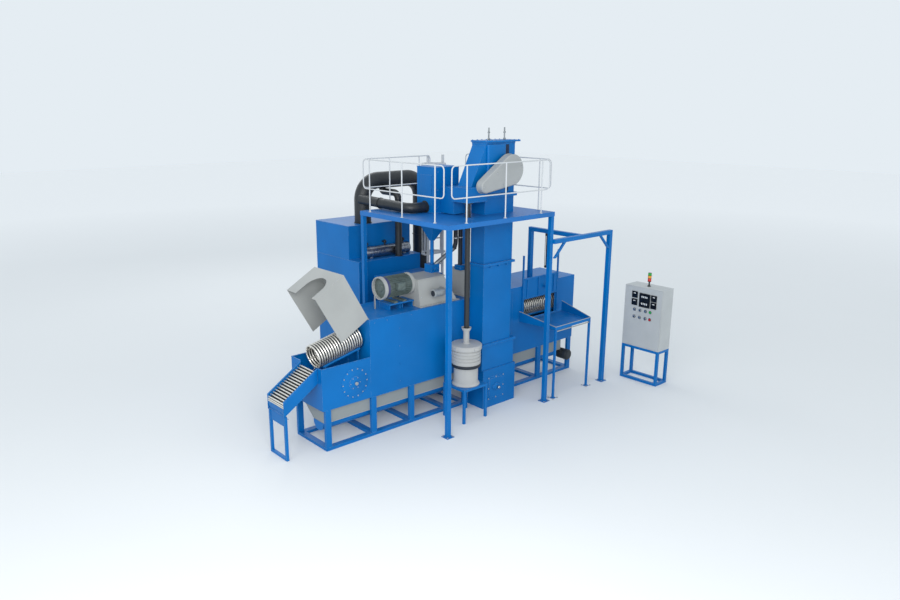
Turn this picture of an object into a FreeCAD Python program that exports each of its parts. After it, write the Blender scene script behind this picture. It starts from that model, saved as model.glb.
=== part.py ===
import FreeCAD, Part
import Sketcher
import math
import os
import re

# Driving dimensions in millimetres and degrees. X runs along the machine from the
# discharge end to the feed end, Y from the front to the back, Z up from the floor.
SIZES = {
    "origin_x": 2925, "origin_y": 430, "seat": 0.3, "wall": 8, "plate": 10, "plate_width": 150,
    "base_length": 5850, "base_width": 860, "rail_width": 100, "rail_height": 50, "post_depth": 50,
    "panel_bottom": 665, "hopper_bottom": 440, "hopper_back": 640, "hopper_foot": 360, "hopper_end": 5600,
    "screw_radius": 140, "screw_bottom": 290, "screw_middle": 215, "screw_end": 5450,
    "trough_length": 860, "trough_top": 1340, "trough_end": 45, "trough_floor": 1000,
    "housing_width": 900, "chamber_top": 1940, "chamber_end": 4100,
    "feed_end": 5870, "feed_floor": 1100, "window_left": 4400, "window_right": 5280,
    "window_bottom": 1300, "window_top": 1700,
    "drum_radius": 195, "drum_wall": 14, "drum_middle": 350, "drum_height": 1435, "drum_rise": 13,
    "drum_length": 820, "ring_width": 26, "recess": 60, "roller": 20,
    "feed_drum_length": 1250, "feed_drum_start": 4300,
    "chute_front": 110, "chute_width": 480, "chute_reach": 600, "chute_slope": 33, "chute_side": 200,
    "chute_sheet": 8, "slat_pitch": 40, "slat_width": 22, "chute_head": 1330, "slat_depth": 50,
    "stand_bar": 42, "stand_reach": 590, "stand_height": 707.5, "lip_bottom": 545,
    "deck_left": 1720, "deck_length": 2420, "deck_front": 865, "deck_depth": 2255, "deck_top": 3420,
    "fascia": 75, "column": 70,
    "tube": 24, "handrail": 870, "midrail": 390, "rail_inset": 26,
    "shaft_left": 2970, "shaft_length": 680, "shaft_front": 360, "shaft_depth": 320,
    "boot_height": 700, "boot_length": 800, "boot_upper": 1180, "flange": 40, "flange_proud": 40,
    "joint_height": 2590, "head_bottom": 3690, "head_top": 4560, "cover_left": 2950, "cover_right": 3745,
    "inlet_left": 2500, "inlet_front": 450, "inlet_bottom": 3650, "inlet_top": 3890,
    "guard_depth": 130, "guard_small": 140, "guard_large": 250, "guard_span": 595, "guard_rise": 205,
    "guard_x": 2800, "guard_z": 3935, "guard_edge": 12,
    "pot_x": 2560, "pot_y": 390, "pot_z": 600, "pipe_radius": 43,
    "collector_left": 1750, "collector_right": 3150, "collector_front": 1500, "collector_back": 2850,
    "collector_foot": 650, "ledge_depth": 300, "ledge": 2500, "collector_top": 3100,
    "riser_x": 2216, "riser_y": 2000, "duct_radius": 150, "duct_run": 3845, "drop_x": 3587, "drop_z": 1300, "entry_x": 3860,
    "branch_radius": 85, "branch_x": 2100, "branch_y": 520, "branch_z": 3535, "vent_radius": 62,
    "vent_x": 2670, "vent_y": 1535, "ladder_left": 3250, "ladder_width": 400, "cage": 250, "hoop": 40,
    "tray_left": 4310, "tray_length": 1000, "tray_reach": 860, "tray_floor": 1290, "tray_lip": 1350,
    "tray_rim": 1630, "leg": 35, "tray_foot": 80,
    "gate_bottom": 1680, "gate_height": 400, "guide": 25, "guide_top": 2510,
    "rod_radius": 10, "rod_length": 780, "cylinder_radius": 35, "cylinder_bore": 22,
    "cylinder_bottom": 2220, "beam_bottom": 2870, "beam": 75, "cylinder_x": 4930,
    "portal_right": 5775, "portal_front": 900, "brace": 36, "brace_reach": 250,
    "hood_length": 880, "hood_height": 585, "hood_width": 800, "hood_sheet": 4, "hood_open": 60,
    "hinge_radius": 11, "hood_front": 25, "slot_width": 440, "slot_left": 105, "slot_height": 200,
    "cabinet_left": 6235, "cabinet_right": 6600, "cabinet_front": 1750, "cabinet_back": 950,
    "cabinet_bottom": 685, "cabinet_top": 1860, "stand_tube": 50, "door_sheet": 20, "pin": 6.1,
}


def bound(text):
    """Prefixes each driving dimension in an expression with the sheet's name."""
    return re.sub(r"[a-z_]+", lambda w: "Sizes." + w.group(0) if w.group(0) in SIZES else w.group(0), str(text))


doc = FreeCAD.newDocument("blasting_machine")
sheet = doc.addObject("Spreadsheet::Sheet", "Sizes")
for row, (alias, value) in enumerate(SIZES.items(), 1):
    sheet.set("A%d" % row, alias)
    sheet.set("B%d" % row, str(value))
    sheet.setAlias("B%d" % row, alias)
doc.recompute()
nodes = []


def bind(piece, **sizes):
    """Binds properties of a piece to expressions in the driving dimensions."""
    for key, text in sizes.items():
        piece.setExpression(key, bound(text))
    return piece


def place(piece, x=0, y=0, z=0, axis=None, turn=0):
    """Places a piece, and turns it about an axis by an angle in degrees."""
    if axis:
        piece.Placement = FreeCAD.Placement(FreeCAD.Vector(), FreeCAD.Rotation(FreeCAD.Vector(*axis), 1))
        piece.setExpression("Placement.Rotation.Angle", bound(turn))
    for key, text in (("x", x), ("y", y), ("z", z)):
        piece.setExpression("Placement.Base." + key, bound(text))
    return piece


def box(x, y, z, length, width, height, axis=None, turn=0):
    piece = bind(doc.addObject("Part::Box", "box"), Length=length, Width=width, Height=height)
    return place(piece, x, y, z, axis, turn)


def bar(x, y, z, radius, length, along="z"):
    """A round bar from a point along an axis."""
    piece = bind(doc.addObject("Part::Cylinder", "bar"), Radius=radius, Height=length)
    turns = {"z": (None, 0), "x": ((0, 1, 0), 90), "y": ((1, 0, 0), -90)}
    return place(piece, x, y, z, *turns[along])


def tapered(z_low, x_low, y_low, z_high, x_high, y_high):
    """A solid between a low and a high rectangle, each given by its range in X and in Y."""
    piece = doc.addObject("Part::Wedge", "tapered")
    bind(piece, Xmin=x_low[0], Xmax=x_low[1], Zmin="-(%s)" % y_low[1], Zmax="-(%s)" % y_low[0], Ymin=z_low,
         X2min=x_high[0], X2max=x_high[1], Z2min="-(%s)" % y_high[1], Z2max="-(%s)" % y_high[0], Ymax=z_high)
    return place(piece, 0, 0, 0, (1, 0, 0), "90")


def fuse(*parts):
    piece = doc.addObject("Part::MultiFuse", "fused")
    piece.Shapes = list(parts)
    piece.Refine = True
    return piece


def cut(base, *tools):
    piece = doc.addObject("Part::Cut", "cut")
    piece.Base = base
    piece.Tool = tools[0] if len(tools) == 1 else fuse(*tools)
    piece.Refine = True
    return piece


def node(name, *parts, joined=True, x="0", y="0", z="0", axis=None, turn=0):
    """A named sub-part: parts joined, or apart where they don't touch, put in the part's frame."""
    if joined and len(parts) > 1:
        piece = fuse(*parts)
    else:
        piece = doc.addObject("Part::Compound", "group")
        piece.Links = list(parts)
    piece.Label = name
    place(piece, "%s - origin_x" % x, "%s - origin_y" % y, z, axis, turn)
    nodes.append(piece)
    return piece


def foot(x, y, width="plate_width"):
    """A square foot plate centred under a post."""
    return box("%s - %s / 2" % (x, width), "%s - %s / 2" % (y, width), 0, width, width, "plate")


def block(x, y, z):
    """A box from its ranges in X, Y and Z."""
    return box(x[0], y[0], z[0], *("(%s) - (%s)" % (high, low) for low, high in (x, y, z)))


# Base frame: two bottom rails with cross rails between them, and posts on the rails.
STATIONS = (50, 915, 1700, 2510, 2925, 4100, 4890, 5800)
rails = [box(0, y, 0, "base_length", "rail_width", "rail_height") for y in (0, "base_width - rail_width")]
posts = []
for station in STATIONS:
    left = "%d - rail_width / 2" % station
    rails.append(box(left, "rail_width + seat", 0, "rail_width", "base_width - 2 * (rail_width + seat)", "rail_height"))
    for y in (0, "base_width - post_depth"):
        posts.append(box(left, y, "rail_height + seat", "rail_width", "post_depth", "panel_bottom - rail_height - seat"))
node("base_frame", *rails, joined=False)
node("base_posts", *posts, joined=False)

# Hopper and screw trough between the posts.
node("hopper", tapered("hopper_bottom + seat", (10, "hopper_end"), ("post_depth + seat", "hopper_foot"),
                       "panel_bottom", (10, "hopper_end"), ("post_depth + seat", "hopper_back")))
screw_sides = ("screw_middle - screw_radius", "screw_middle + screw_radius")
node("screw_trough", cut(
    fuse(bar(5, "screw_middle", "screw_bottom + screw_radius", "screw_radius", "screw_end", "x"),
         block((5, "screw_end + 5"), screw_sides, ("screw_bottom + screw_radius", "hopper_bottom"))),
    block((0, "screw_end + 10"), screw_sides, ("hopper_bottom", "hopper_bottom + screw_radius"))))

# Open discharge trough at the left end.
notch = ("chute_front - 5", "chute_front + chute_width + 5")
node("discharge_trough", cut(
    block(("-trough_end", "trough_length - seat"), (0, "base_width"), ("panel_bottom", "trough_top")),
    block(("wall - trough_end", "trough_length + 10"), ("wall", "base_width - wall"),
          ("trough_floor", "trough_top + 10")),
    block(("-trough_end - 10", "wall"), notch, ("trough_top - 190", "trough_top + 10"))))

# Main blast chamber with the drum's mouth in its left wall, and the air box behind its wheels.
chamber = block(("trough_length", "chamber_end"), (0, "housing_width"), ("panel_bottom", "chamber_top"))
mouth = bar(0, 0, 0, "drum_radius + 30", "drum_length + recess", "z")
place(mouth, 0, "drum_middle", "drum_height", (0, 1, 0), "90 - drum_rise")
node("blast_chamber", cut(chamber, mouth))
node("air_box", block((1900, 2950), (650, 1250), ("chamber_top + seat", 2285)))

# Feed housing: a shell with a window in its front wall.
node("feed_housing", cut(
    block(("chamber_end + seat", "feed_end"), (0, "housing_width"), ("panel_bottom", "chamber_top")),
    block(("chamber_end + wall", "feed_end - wall"), ("wall", "housing_width - wall"),
          ("feed_floor", "chamber_top - wall")),
    block(("window_left", "window_right"), (-10, 20), ("window_bottom", "window_top"))))


# Drums of rings on staves.
RINGS = 12
STAVES = 6


def drum(name, length, **where):
    """A drum along Z: like rings at an even pitch, carried by staves inside them."""
    rings = []
    for number in range(RINGS):
        start = "%d * (%s - ring_width) / %d" % (number, length, RINGS - 1)
        outer = bar(0, 0, start, "drum_radius", "ring_width")
        inner = bar(0, 0, start + " - 1", "drum_radius - drum_wall", "ring_width + 2")
        rings.append(cut(outer, inner))
    for number in range(STAVES):
        stave = box("drum_radius - drum_wall + 3", -8, 0, "drum_wall - 6", 16, length)
        holder = doc.addObject("Part::Compound", "stave")
        holder.Links = [stave]
        rings.append(place(holder, 0, 0, 0, (0, 0, 1), "%d * %d" % (number, 360 / STAVES)))
    return node(name, *rings, **where)


drum("outlet_drum", "drum_length", x="30", y="drum_middle", z="drum_height", axis=(0, 1, 0), turn="90 - drum_rise")
drum("feed_drum", "feed_drum_length", x="feed_drum_start", y="drum_middle", z="drum_height",
     axis=(0, 1, 0), turn="90")


def rollers(name, start, floor, length, rise):
    """Two rollers 40 degrees to each side below a drum's axis, with a post under each end."""
    reach = "(drum_radius + roller + seat)"
    drop = "%s * cos(40)" % reach
    side = "%s * sin(40)" % reach
    pieces = []
    for sign in ("+", "-"):
        across = "drum_middle %s %s" % (sign, side)
        axle = bar(0, 0, 0, "roller", "(%s) - 120" % length)
        place(axle, "%s + 60 * cos(%s) + %s * sin(%s)" % (start, rise, drop, rise), across,
              "drum_height + 60 * sin(%s) - %s * cos(%s)" % (rise, drop, rise), (0, 1, 0), "90 - %s" % rise)
        pieces.append(axle)
        for along in ("100", "(%s - 100)" % length):
            pieces.append(box("%s + %s * cos(%s) + %s * sin(%s) - 6" % (start, along, rise, drop, rise),
                              "%s - 18" % across, "%s + seat" % floor, 12, 36,
                              "drum_height + %s * sin(%s) - %s * cos(%s) - %s" % (along, rise, drop, rise, floor)))
    return node(name, *pieces)


rollers("outlet_rollers", "30", "trough_floor", "drum_length", "drum_rise")
rollers("feed_rollers", "feed_drum_start", "feed_floor", "feed_drum_length", "0")

# Slatted discharge chute, made in its sloping frame and cut off level with the trough's wall.
def level(x, y, z, length, width, height):
    """A box that stands level once the chute's frame is turned down by its slope."""
    return box("%s * cos(chute_slope) + %s * sin(chute_slope)" % (x, z), y,
               "%s * cos(chute_slope) - %s * sin(chute_slope)" % (z, x),
               length, width, height, (0, 1, 0), "chute_slope")


SLATS = 16
chute_run = "chute_reach / cos(chute_slope)"
chute = []
for y in ("0", "chute_width - chute_sheet"):
    chute.append(box("-%s - chute_side" % chute_run, y, "-chute_side", "%s + 2 * chute_side" % chute_run,
                     "chute_sheet", "chute_side"))
chute.append(box("-%s - chute_side" % chute_run, 0, "-chute_side", "%s + 2 * chute_side" % chute_run,
                 "chute_width", "chute_sheet"))
for number in range(SLATS):
    chute.append(box("-%s + %d * slat_pitch" % (chute_run, number), "chute_sheet", "-slat_depth",
                     "slat_width", "chute_width - 2 * chute_sheet", "slat_depth / 4"))
node("discharge_chute", cut(
    fuse(*chute),
    level("0", "-10", "(-1000)", 1000, "chute_width + 20", 2000),
    level("(-chute_reach - 1000)", "-10", "(-1500)", 1000, "chute_width + 20", 2000)),
    x="-trough_end - seat", y="chute_front", z="chute_head", axis=(0, 1, 0), turn="-chute_slope")
stand_left = "-trough_end - stand_reach"
stand = []
for y in ("chute_front", "chute_front + chute_width - stand_bar"):
    stand.append(box(stand_left, y, 0, "stand_bar", "stand_bar", "stand_height"))
stand.append(box(stand_left, "chute_front", 0, "stand_bar", "chute_width", "stand_bar"))
stand.append(box(stand_left + " + 10", "chute_front", "lip_bottom", "chute_sheet", "chute_width",
                 "stand_height - lip_bottom"))
node("chute_stand", *stand)

# Platform: deck with a fascia, four columns with foot plates.
deck = block(("deck_left", "deck_left + deck_length"), ("-deck_front", "deck_depth - deck_front"),
             ("deck_top - fascia", "deck_top"))
under = block(("deck_left + 6", "deck_left + deck_length - 6"), ("6 - deck_front", "deck_depth - deck_front - 6"),
              ("deck_top - fascia - 10", "deck_top - 6"))
node("platform_deck", cut(deck, under, bar("pot_x", "-pot_y", "deck_top - 100", "pipe_radius + seat", 200), block(
    ("shaft_left - seat", "shaft_left + shaft_length + seat"),
    ("-shaft_front - seat", "shaft_depth - shaft_front + seat"), ("deck_top - 100", "deck_top + 10"))))
columns = []
for x in ("deck_left + 6 + column / 2", "deck_left + deck_length - 6 - column / 2"):
    for y in ("6 + column / 2 - deck_front", "deck_depth - deck_front - 6 - column / 2"):
        columns.append(box("%s - column / 2" % x, "%s - column / 2" % y, 0, "column", "column",
                           "deck_top - 6 - seat"))
        columns.append(foot(x, y))
node("platform_columns", *columns)


# Handrails: a closed loop of tube on posts along each side of the deck.
def handrail(name, start, end, posts, along, across):
    pieces = []
    high = "deck_top + handrail - tube / 2"
    for z in (high, "deck_top + midrail"):
        corner = (start, across, z) if along == "x" else (across, start, z)
        pieces.append(bar(*corner, "tube / 2", "(%s) - (%s)" % (end, start), along))
    for spot, foot_height in [(spot, "0") for spot in posts] + [(start, "midrail"), (end, "midrail")]:
        corner = (spot, across) if along == "x" else (across, spot)
        pieces.append(bar(*corner, "deck_top + " + foot_height, "tube / 2", "handrail - tube / 2 - " + foot_height))
    node(name, *pieces)


handrail("front_handrail", 1790, 4000, (2100, 2950, 3810), "x", "rail_inset - deck_front")
handrail("left_handrail", -715, 1306, (-515, 280, 1135), "y", "deck_left + rail_inset")
handrail("back_handrail", 1785, 3200, (2350, 3020), "x", "deck_depth - deck_front - rail_inset")
handrail("right_handrail", -770, 1306, (-515, 280, 1135), "y", "deck_left + deck_length - rail_inset")

# Bucket elevator: boot, casing, head and cover.
front = "-shaft_front"
back = "shaft_depth - shaft_front"
right = "shaft_left + shaft_length"
node("elevator_boot", block(("shaft_left + 20", "shaft_left + 20 + boot_length"), (front + " - 20", "-seat"),
                            (0, "boot_height")))
node("elevator_casing",
     block(("shaft_left", right), (front, back), ("boot_height + seat", "head_bottom")),
     block(("shaft_left", right + " + 100"), (front, "-seat"), ("boot_height + seat", "boot_upper")),
     block(("shaft_left - 30", right + " + 130"), (front + " - 30", "-seat"), ("boot_upper - flange", "boot_upper")),
     block(("shaft_left - flange_proud", right + " + flange_proud"), (front + " - flange_proud", back),
           ("joint_height - flange", "joint_height")))
node("elevator_head",
     block(("shaft_left", right), (front, back), ("head_bottom + seat", "head_top")),
     block(("shaft_left - flange_proud", right + " + flange_proud"), (front + " - flange_proud", back),
           ("head_bottom + seat", "head_bottom + 60")),
     tapered("inlet_top + seat", ("inlet_left + 150", "shaft_left + 10"), (front, back + " - 10"),
             "head_top - 30", ("shaft_left - 5", "shaft_left + 10"), (front, back + " - 10")))
node("head_cover",
     block(("cover_left", "cover_right"), (front + " - 40", back + " + 20"), ("head_top + seat", "head_top + 50")),
     bar(3190, -200, "head_top + 50", 12, 200), bar(3560, -200, "head_top + 50", 12, 200))

# Separator on the platform, and the box under the head's spout.
node("separator", block((2440, "shaft_left - seat"), (270, 730), ("deck_top + seat", 4180)))
node("separator_inlet", block(("inlet_left", "shaft_left - flange_proud - seat"), ("-inlet_front", back + " - 10"),
                              ("inlet_bottom + seat", "inlet_top")))


def sketched(name, outline, joins, sizes, turn):
    """A body with one sketch; each size is a constraint of the sketch bound to a driving dimension."""
    body = doc.addObject("PartDesign::Body", name)
    drawing = body.newObject("Sketcher::SketchObject", name + "_outline")
    drawing.Placement = FreeCAD.Placement(FreeCAD.Vector(), FreeCAD.Rotation(FreeCAD.Vector(1, 0, 0), turn))
    drawing.addGeometry(outline, False)
    for join in joins:
        drawing.addConstraint(Sketcher.Constraint(*join))
    for label, kind, *picks, text in sizes:
        value = float(sheet.get(text)) if text in SIZES else 1.0
        number = drawing.addConstraint(Sketcher.Constraint(kind, *picks, value))
        drawing.renameConstraint(number, label)
        drawing.setExpression("Constraints." + label, bound(text))
    return body, drawing


# Drive guard: two rounds joined by tangents, padded, its front edge rounded.
def guard_outline():
    """Two arcs and the two lines that touch them, counter-clockwise from the small arc."""
    small, large = SIZES["guard_small"], SIZES["guard_large"]
    span, rise = SIZES["guard_span"], SIZES["guard_rise"]
    lean = math.atan2(rise, span)
    half = math.acos((large - small) / math.hypot(span, rise))
    low, high = lean + math.pi - half, lean + math.pi + half
    centre, far = FreeCAD.Vector(0, 0, 0), FreeCAD.Vector(span, rise, 0)

    def point(middle, radius, angle):
        return middle + FreeCAD.Vector(radius * math.cos(angle), radius * math.sin(angle), 0)

    def arc(middle, radius, start, end):
        circle = Part.Circle(middle, FreeCAD.Vector(0, 0, 1), radius)
        return Part.ArcOfCircle(circle, start, end)

    return [arc(centre, small, low, high), Part.LineSegment(point(centre, small, high), point(far, large, high)),
            arc(far, large, high, low + 2 * math.pi),
            Part.LineSegment(point(far, large, low), point(centre, small, low))]


guard, drawing = sketched(
    "guard", guard_outline(),
    [("Coincident", 0, 3, -1, 1), ("Tangent", 0, 2, 1, 1), ("Tangent", 1, 2, 2, 1),
     ("Tangent", 2, 2, 3, 1), ("Tangent", 3, 2, 0, 1)],
    [("small", "Radius", 0, "guard_small"), ("large", "Radius", 2, "guard_large"),
     ("span", "DistanceX", 0, 3, 2, 3, "guard_span"), ("rise", "DistanceY", 0, 3, 2, 3, "guard_rise")], 90)
pad = guard.newObject("PartDesign::Pad", "guard_pad")
pad.Profile = drawing
bind(pad, Length="guard_depth")
doc.recompute()
rim = ["Edge%d" % number for number, edge in enumerate(pad.Shape.Edges, 1)
       if abs(edge.BoundBox.YMin - pad.Shape.BoundBox.YMin) < 0.01 and edge.BoundBox.YLength < 0.01]
rounding = guard.newObject("PartDesign::Fillet", "guard_round")
rounding.Base = (pad, rim)
bind(rounding, Radius="guard_edge")
place(guard, "guard_x", "-inlet_front - seat", "guard_z")
node("belt_guard", guard, bar("guard_x + guard_span", "-inlet_front - 10", "guard_z + guard_rise", 50,
                              "inlet_front + 10 - shaft_front - seat", "y"))

# Reject pipe, pot and stool.
node("reject_pipe", bar("pot_x", "-pot_y", 1550, "pipe_radius", "inlet_bottom - 1550"))
POT = ((0, 0), (235, 0), (235, 25), (205, 25), (205, 305), (235, 305), (235, 370), (245, 370), (245, 600),
       (260, 600), (260, 705), (52, 705), (52, 915), (85, 915), (85, 985), (0, 985))
ring = POT + POT[:1]
pot = doc.addObject("PartDesign::Body", "pot")
drawing = pot.newObject("Sketcher::SketchObject", "pot_outline")
drawing.Placement = FreeCAD.Placement(FreeCAD.Vector(), FreeCAD.Rotation(FreeCAD.Vector(1, 0, 0), 90))
drawing.addGeometry([Part.LineSegment(FreeCAD.Vector(*start, 0), FreeCAD.Vector(*end, 0))
                     for start, end in zip(ring, ring[1:])], False)
turned = pot.newObject("PartDesign::Revolution", "pot_turned")
turned.Profile = drawing
turned.ReferenceAxis = (drawing, ["V_Axis"])
turned.Angle = 360
place(pot, "pot_x", "-pot_y", "pot_z + seat")
node("reject_pot", cut(pot, bar("pot_x", "-pot_y", 1450, "pipe_radius + seat", 200)))
stool = [block((2290, 2830), (-640, -120), ("pot_z - 40", "pot_z"))]
for x in (2290, 2790):
    for y in (-640, -160):
        stool.append(block((x, "%d + 40" % x), (y, "%d + 40" % y), (0, "pot_z - 40")))
node("pot_stool", *stool)

# Blast wheels on the chamber roof, fed from the hopper under the separator.
node("front_wheel_motor", bar(1220, 350, 2310, 190, "2001 - 1220 - seat", "x"),
     block((1450, 1950), (230, 470), ("chamber_top + seat", 2140)))
node("front_wheel_housing", tapered("chamber_top + seat", (2001, 2750), (60, 620), 2400, (2001, 2500), (120, 560)))
node("second_wheel_motor", bar("3450 + seat", 350, 2310, 190, 600, "x"),
     block((3550, 3950), (230, 470), ("chamber_top + seat", 2140)))
node("second_wheel_housing", tapered("chamber_top + seat", (3000, 3450), (50, 600), 2390, (3030, 3450), (110, 550)))
node("shot_hopper", tapered(2940, (2497, 2562), (417, 482), "deck_top - 6 - seat", (2330, 2810), (170, 730)),
     bar(2530, 450, 2401, 32, 560), block((2440, 2620), (360, 540), ("2400 + seat", 2540)))
node("feed_hose", bar(2940, 300, 2700, 38, "deck_top - 6 - seat - 2700"),
     bar(3040, 300, "2390 + seat", 38, "deck_top - 6 - seat - 2390 - seat"))

# Dust collector behind the machine on its legs, its header tank and the ducts.
node("collector_base",
     block(("collector_left", "collector_right"), ("collector_front", "collector_back"), ("collector_foot", "ledge")),
     *(block((x, x + " + 60"), (y, y + " + 60"), (0, "collector_foot"))
       for x in ("collector_left + 20", "collector_right - 80")
       for y in ("collector_front + 20", "collector_back - 80")))
node("collector_body", block(("collector_left", "collector_right"),
                             ("collector_front + ledge_depth", "collector_back"), ("ledge + seat", "collector_top")))
tank_y = "collector_front + 195"
node("header_tank", bar("collector_left + 230", tank_y, "ledge + 125", 90, 1060, "x"),
     *(block((x, x + " + 60"), (tank_y + " - 55", tank_y + " + 55"), ("ledge + seat", "ledge + 90"))
       for x in ("collector_left + 350", "collector_left + 1110")))
node("main_duct",
     bar("riser_x", "riser_y", "collector_top + seat", "duct_radius", "duct_run - collector_top - seat"),
     bar("riser_x", "riser_y", "duct_run", "duct_radius", "drop_x - riser_x", "x"),
     bar("drop_x", "riser_y", "drop_z", "duct_radius", "duct_run - drop_z"),
     bar("drop_x", "riser_y", "drop_z", "duct_radius", "entry_x - drop_x", "x"),
     bar("entry_x", "housing_width + seat", "drop_z", "duct_radius", "riser_y - housing_width - seat", "y"),
     bar("branch_x", "branch_y", "branch_z", "branch_radius", "riser_y - branch_y", "y"),
     bar("branch_x", "branch_y", "branch_z", "branch_radius", "2440 - seat - branch_x", "x"),
     bar("vent_x", "vent_y", "ledge + seat", "vent_radius", "duct_run - ledge - seat"),
     bar("vent_x", "vent_y", "duct_run", "vent_radius", "riser_y - vent_y", "y"))

# Ladder to the platform with its cage, each hoop stated as a frame of flat bar.
ladder_y = "deck_depth - deck_front + seat"
RUNGS = 13
ladder = []
for x in ("ladder_left", "ladder_left + ladder_width - 40"):
    ladder.append(block((x, x + " + 40"), (ladder_y, ladder_y + " + 40"), (0, "deck_top + handrail")))
for number in range(RUNGS):
    ladder.append(bar("ladder_left + 30", ladder_y + " + 24", "250 * %d" % (number + 1), 12, "ladder_width - 60", "x"))
middle = "ladder_left + ladder_width / 2"
for height in (2450, 3000, 3550, 4100):
    ladder.append(cut(
        block((middle + " - cage", middle + " + cage"), (ladder_y, ladder_y + " + 40 + cage"),
              (height, "%d + hoop" % height)),
        block((middle + " - cage + wall", middle + " + cage - wall"),
              (ladder_y + " + wall", ladder_y + " + 40 + cage - wall"), (height - 1, "%d + hoop + 1" % height))))
node("ladder", *ladder)

# Feed tray with its legs.
tray = ("tray_left", "tray_left + tray_length")
tray_front = "-tray_reach"
node("feed_tray",
     block(tray, (tray_front, "-seat"), ("tray_floor", "tray_floor + wall")),
     block(tray, (tray_front, tray_front + " + wall"), ("tray_floor", "tray_lip")),
     *(tapered("tray_floor", x, (tray_front, -60), "tray_lip", x, (tray_front, -60))
       for x in (("tray_left", "tray_left + wall"), ("tray_left + tray_length - wall", "tray_left + tray_length"))),
     *(tapered("tray_lip", x, (tray_front, -60), "tray_rim", x, (-70, -60))
       for x in (("tray_left", "tray_left + wall"), ("tray_left + tray_length - wall", "tray_left + tray_length"))))
legs = []
for x in ("tray_left + leg / 2", "tray_left + tray_length - leg / 2"):
    legs.append(box("%s - leg / 2" % x, "-tray_reach", 0, "leg", "leg", "tray_floor - seat"))
    legs.append(foot(x, "leg / 2 - tray_reach", "tray_foot"))
node("tray_legs", *legs)

# Lifting gate over the feed window, with its guides, rod and cylinder.
node("gate_panel",
     block(("window_left - 30", "window_right + 30"), (-22, -12), ("gate_bottom", "gate_bottom + gate_height")),
     block(("cylinder_x - 20", "cylinder_x + 20"), (-95, -22), (1845, 1865)))
node("gate_rod", bar("cylinder_x", -80, "1865 + seat", "rod_radius", "rod_length"))
guides = []
for x, lip in (("window_left - 60", "window_left - 20"), ("window_right + 35", "window_right + 20")):
    guides.append(block((x, "%s + guide" % x), (-30, -0.3), (1300, "guide_top")))
node("gate_guides", *guides, joined=False)
reach = "beam_bottom - cylinder_bottom"
node("gate_cylinder", cut(
    bar("cylinder_x", -80, "cylinder_bottom", "cylinder_radius", reach + " - seat"),
    bar("cylinder_x", -80, "cylinder_bottom + 20", "cylinder_bore", reach + " - 40"),
    bar("cylinder_x", -80, "cylinder_bottom - 1", "rod_radius + seat", 30)))

# Portal that carries the cylinder: a beam from the platform's column to a post, a brace at each end.
beam_start = "deck_left + deck_length - 6 + seat"
portal_right = ("portal_right - beam", "portal_right")
portal_depth = ("-portal_front", "beam - portal_front")
cylinder_beam = ("cylinder_x - beam / 2", "cylinder_x + beam / 2")
brace_depth = ("-portal_front", "brace - portal_front")
brace_cut = " + brace / cos(45)"
post_bite = "portal_right - beam + brace / 4"
node("portal_frame",
     block((beam_start, "portal_right"), portal_depth, ("beam_bottom", "beam_bottom + beam")),
     block(portal_right, portal_depth, (0, "beam_bottom")),
     foot("portal_right - beam / 2", "beam / 2 - portal_front"),
     tapered("beam_bottom - brace_reach", (beam_start, beam_start + brace_cut), brace_depth,
             "beam_bottom", (beam_start + " + brace_reach", beam_start + " + brace_reach" + brace_cut), brace_depth),
     tapered("beam_bottom - brace_reach", (post_bite + " - brace / cos(45)", post_bite), brace_depth,
             "beam_bottom", (post_bite + " - brace_reach - brace / cos(45)", post_bite + " - brace_reach"), brace_depth),
     block(cylinder_beam, ("beam - portal_front", 375), ("beam_bottom", "beam_bottom + beam")),
     block(cylinder_beam, (300, 375), ("chamber_top + seat", "beam_bottom")))

# Hood hinged on the chamber's left top edge, swung open: a top, two sides and an end with an arch.
hood_back = "(hinge_radius + 3)"
arch = [box("-hood_length - 1", "slot_left", "-hood_height - 1", "hood_sheet + 2", "slot_width", "slot_height + 1"),
        bar("-hood_length - 1", "slot_left + slot_width / 2", "slot_height - hood_height", "slot_width / 2",
            "hood_sheet + 2", "x")]
hood = cut(box("-hood_length", 0, "-hood_height", "hood_length - " + hood_back, "hood_width", "hood_height"),
           box("hood_sheet - hood_length", "hood_sheet", "-hood_height - 1", "hood_length",
               "hood_width - 2 * hood_sheet", "hood_height - hood_sheet + 1"), *arch)
ears = [box("-hinge_radius - 6", y, "-30", "5.7", 60, "30") for y in (0, "hood_width - 60")]
node("hood", fuse(hood, *ears), x="trough_length", y="hood_front", z="chamber_top + hinge_radius + seat",
     axis=(0, 1, 0), turn="hood_open")
node("hood_hinge", bar("trough_length", "hood_front", "chamber_top + hinge_radius + seat", "hinge_radius",
                       "hood_width", "y"))

# Geared motor of the screw at the feed end.
node("screw_motor", bar("screw_end + 205", -120, 345, 80, 281, "y"),
     block(("screw_end + 5 + seat", "screw_end + 290"), (160, 340), (300, "hopper_bottom")))

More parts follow.
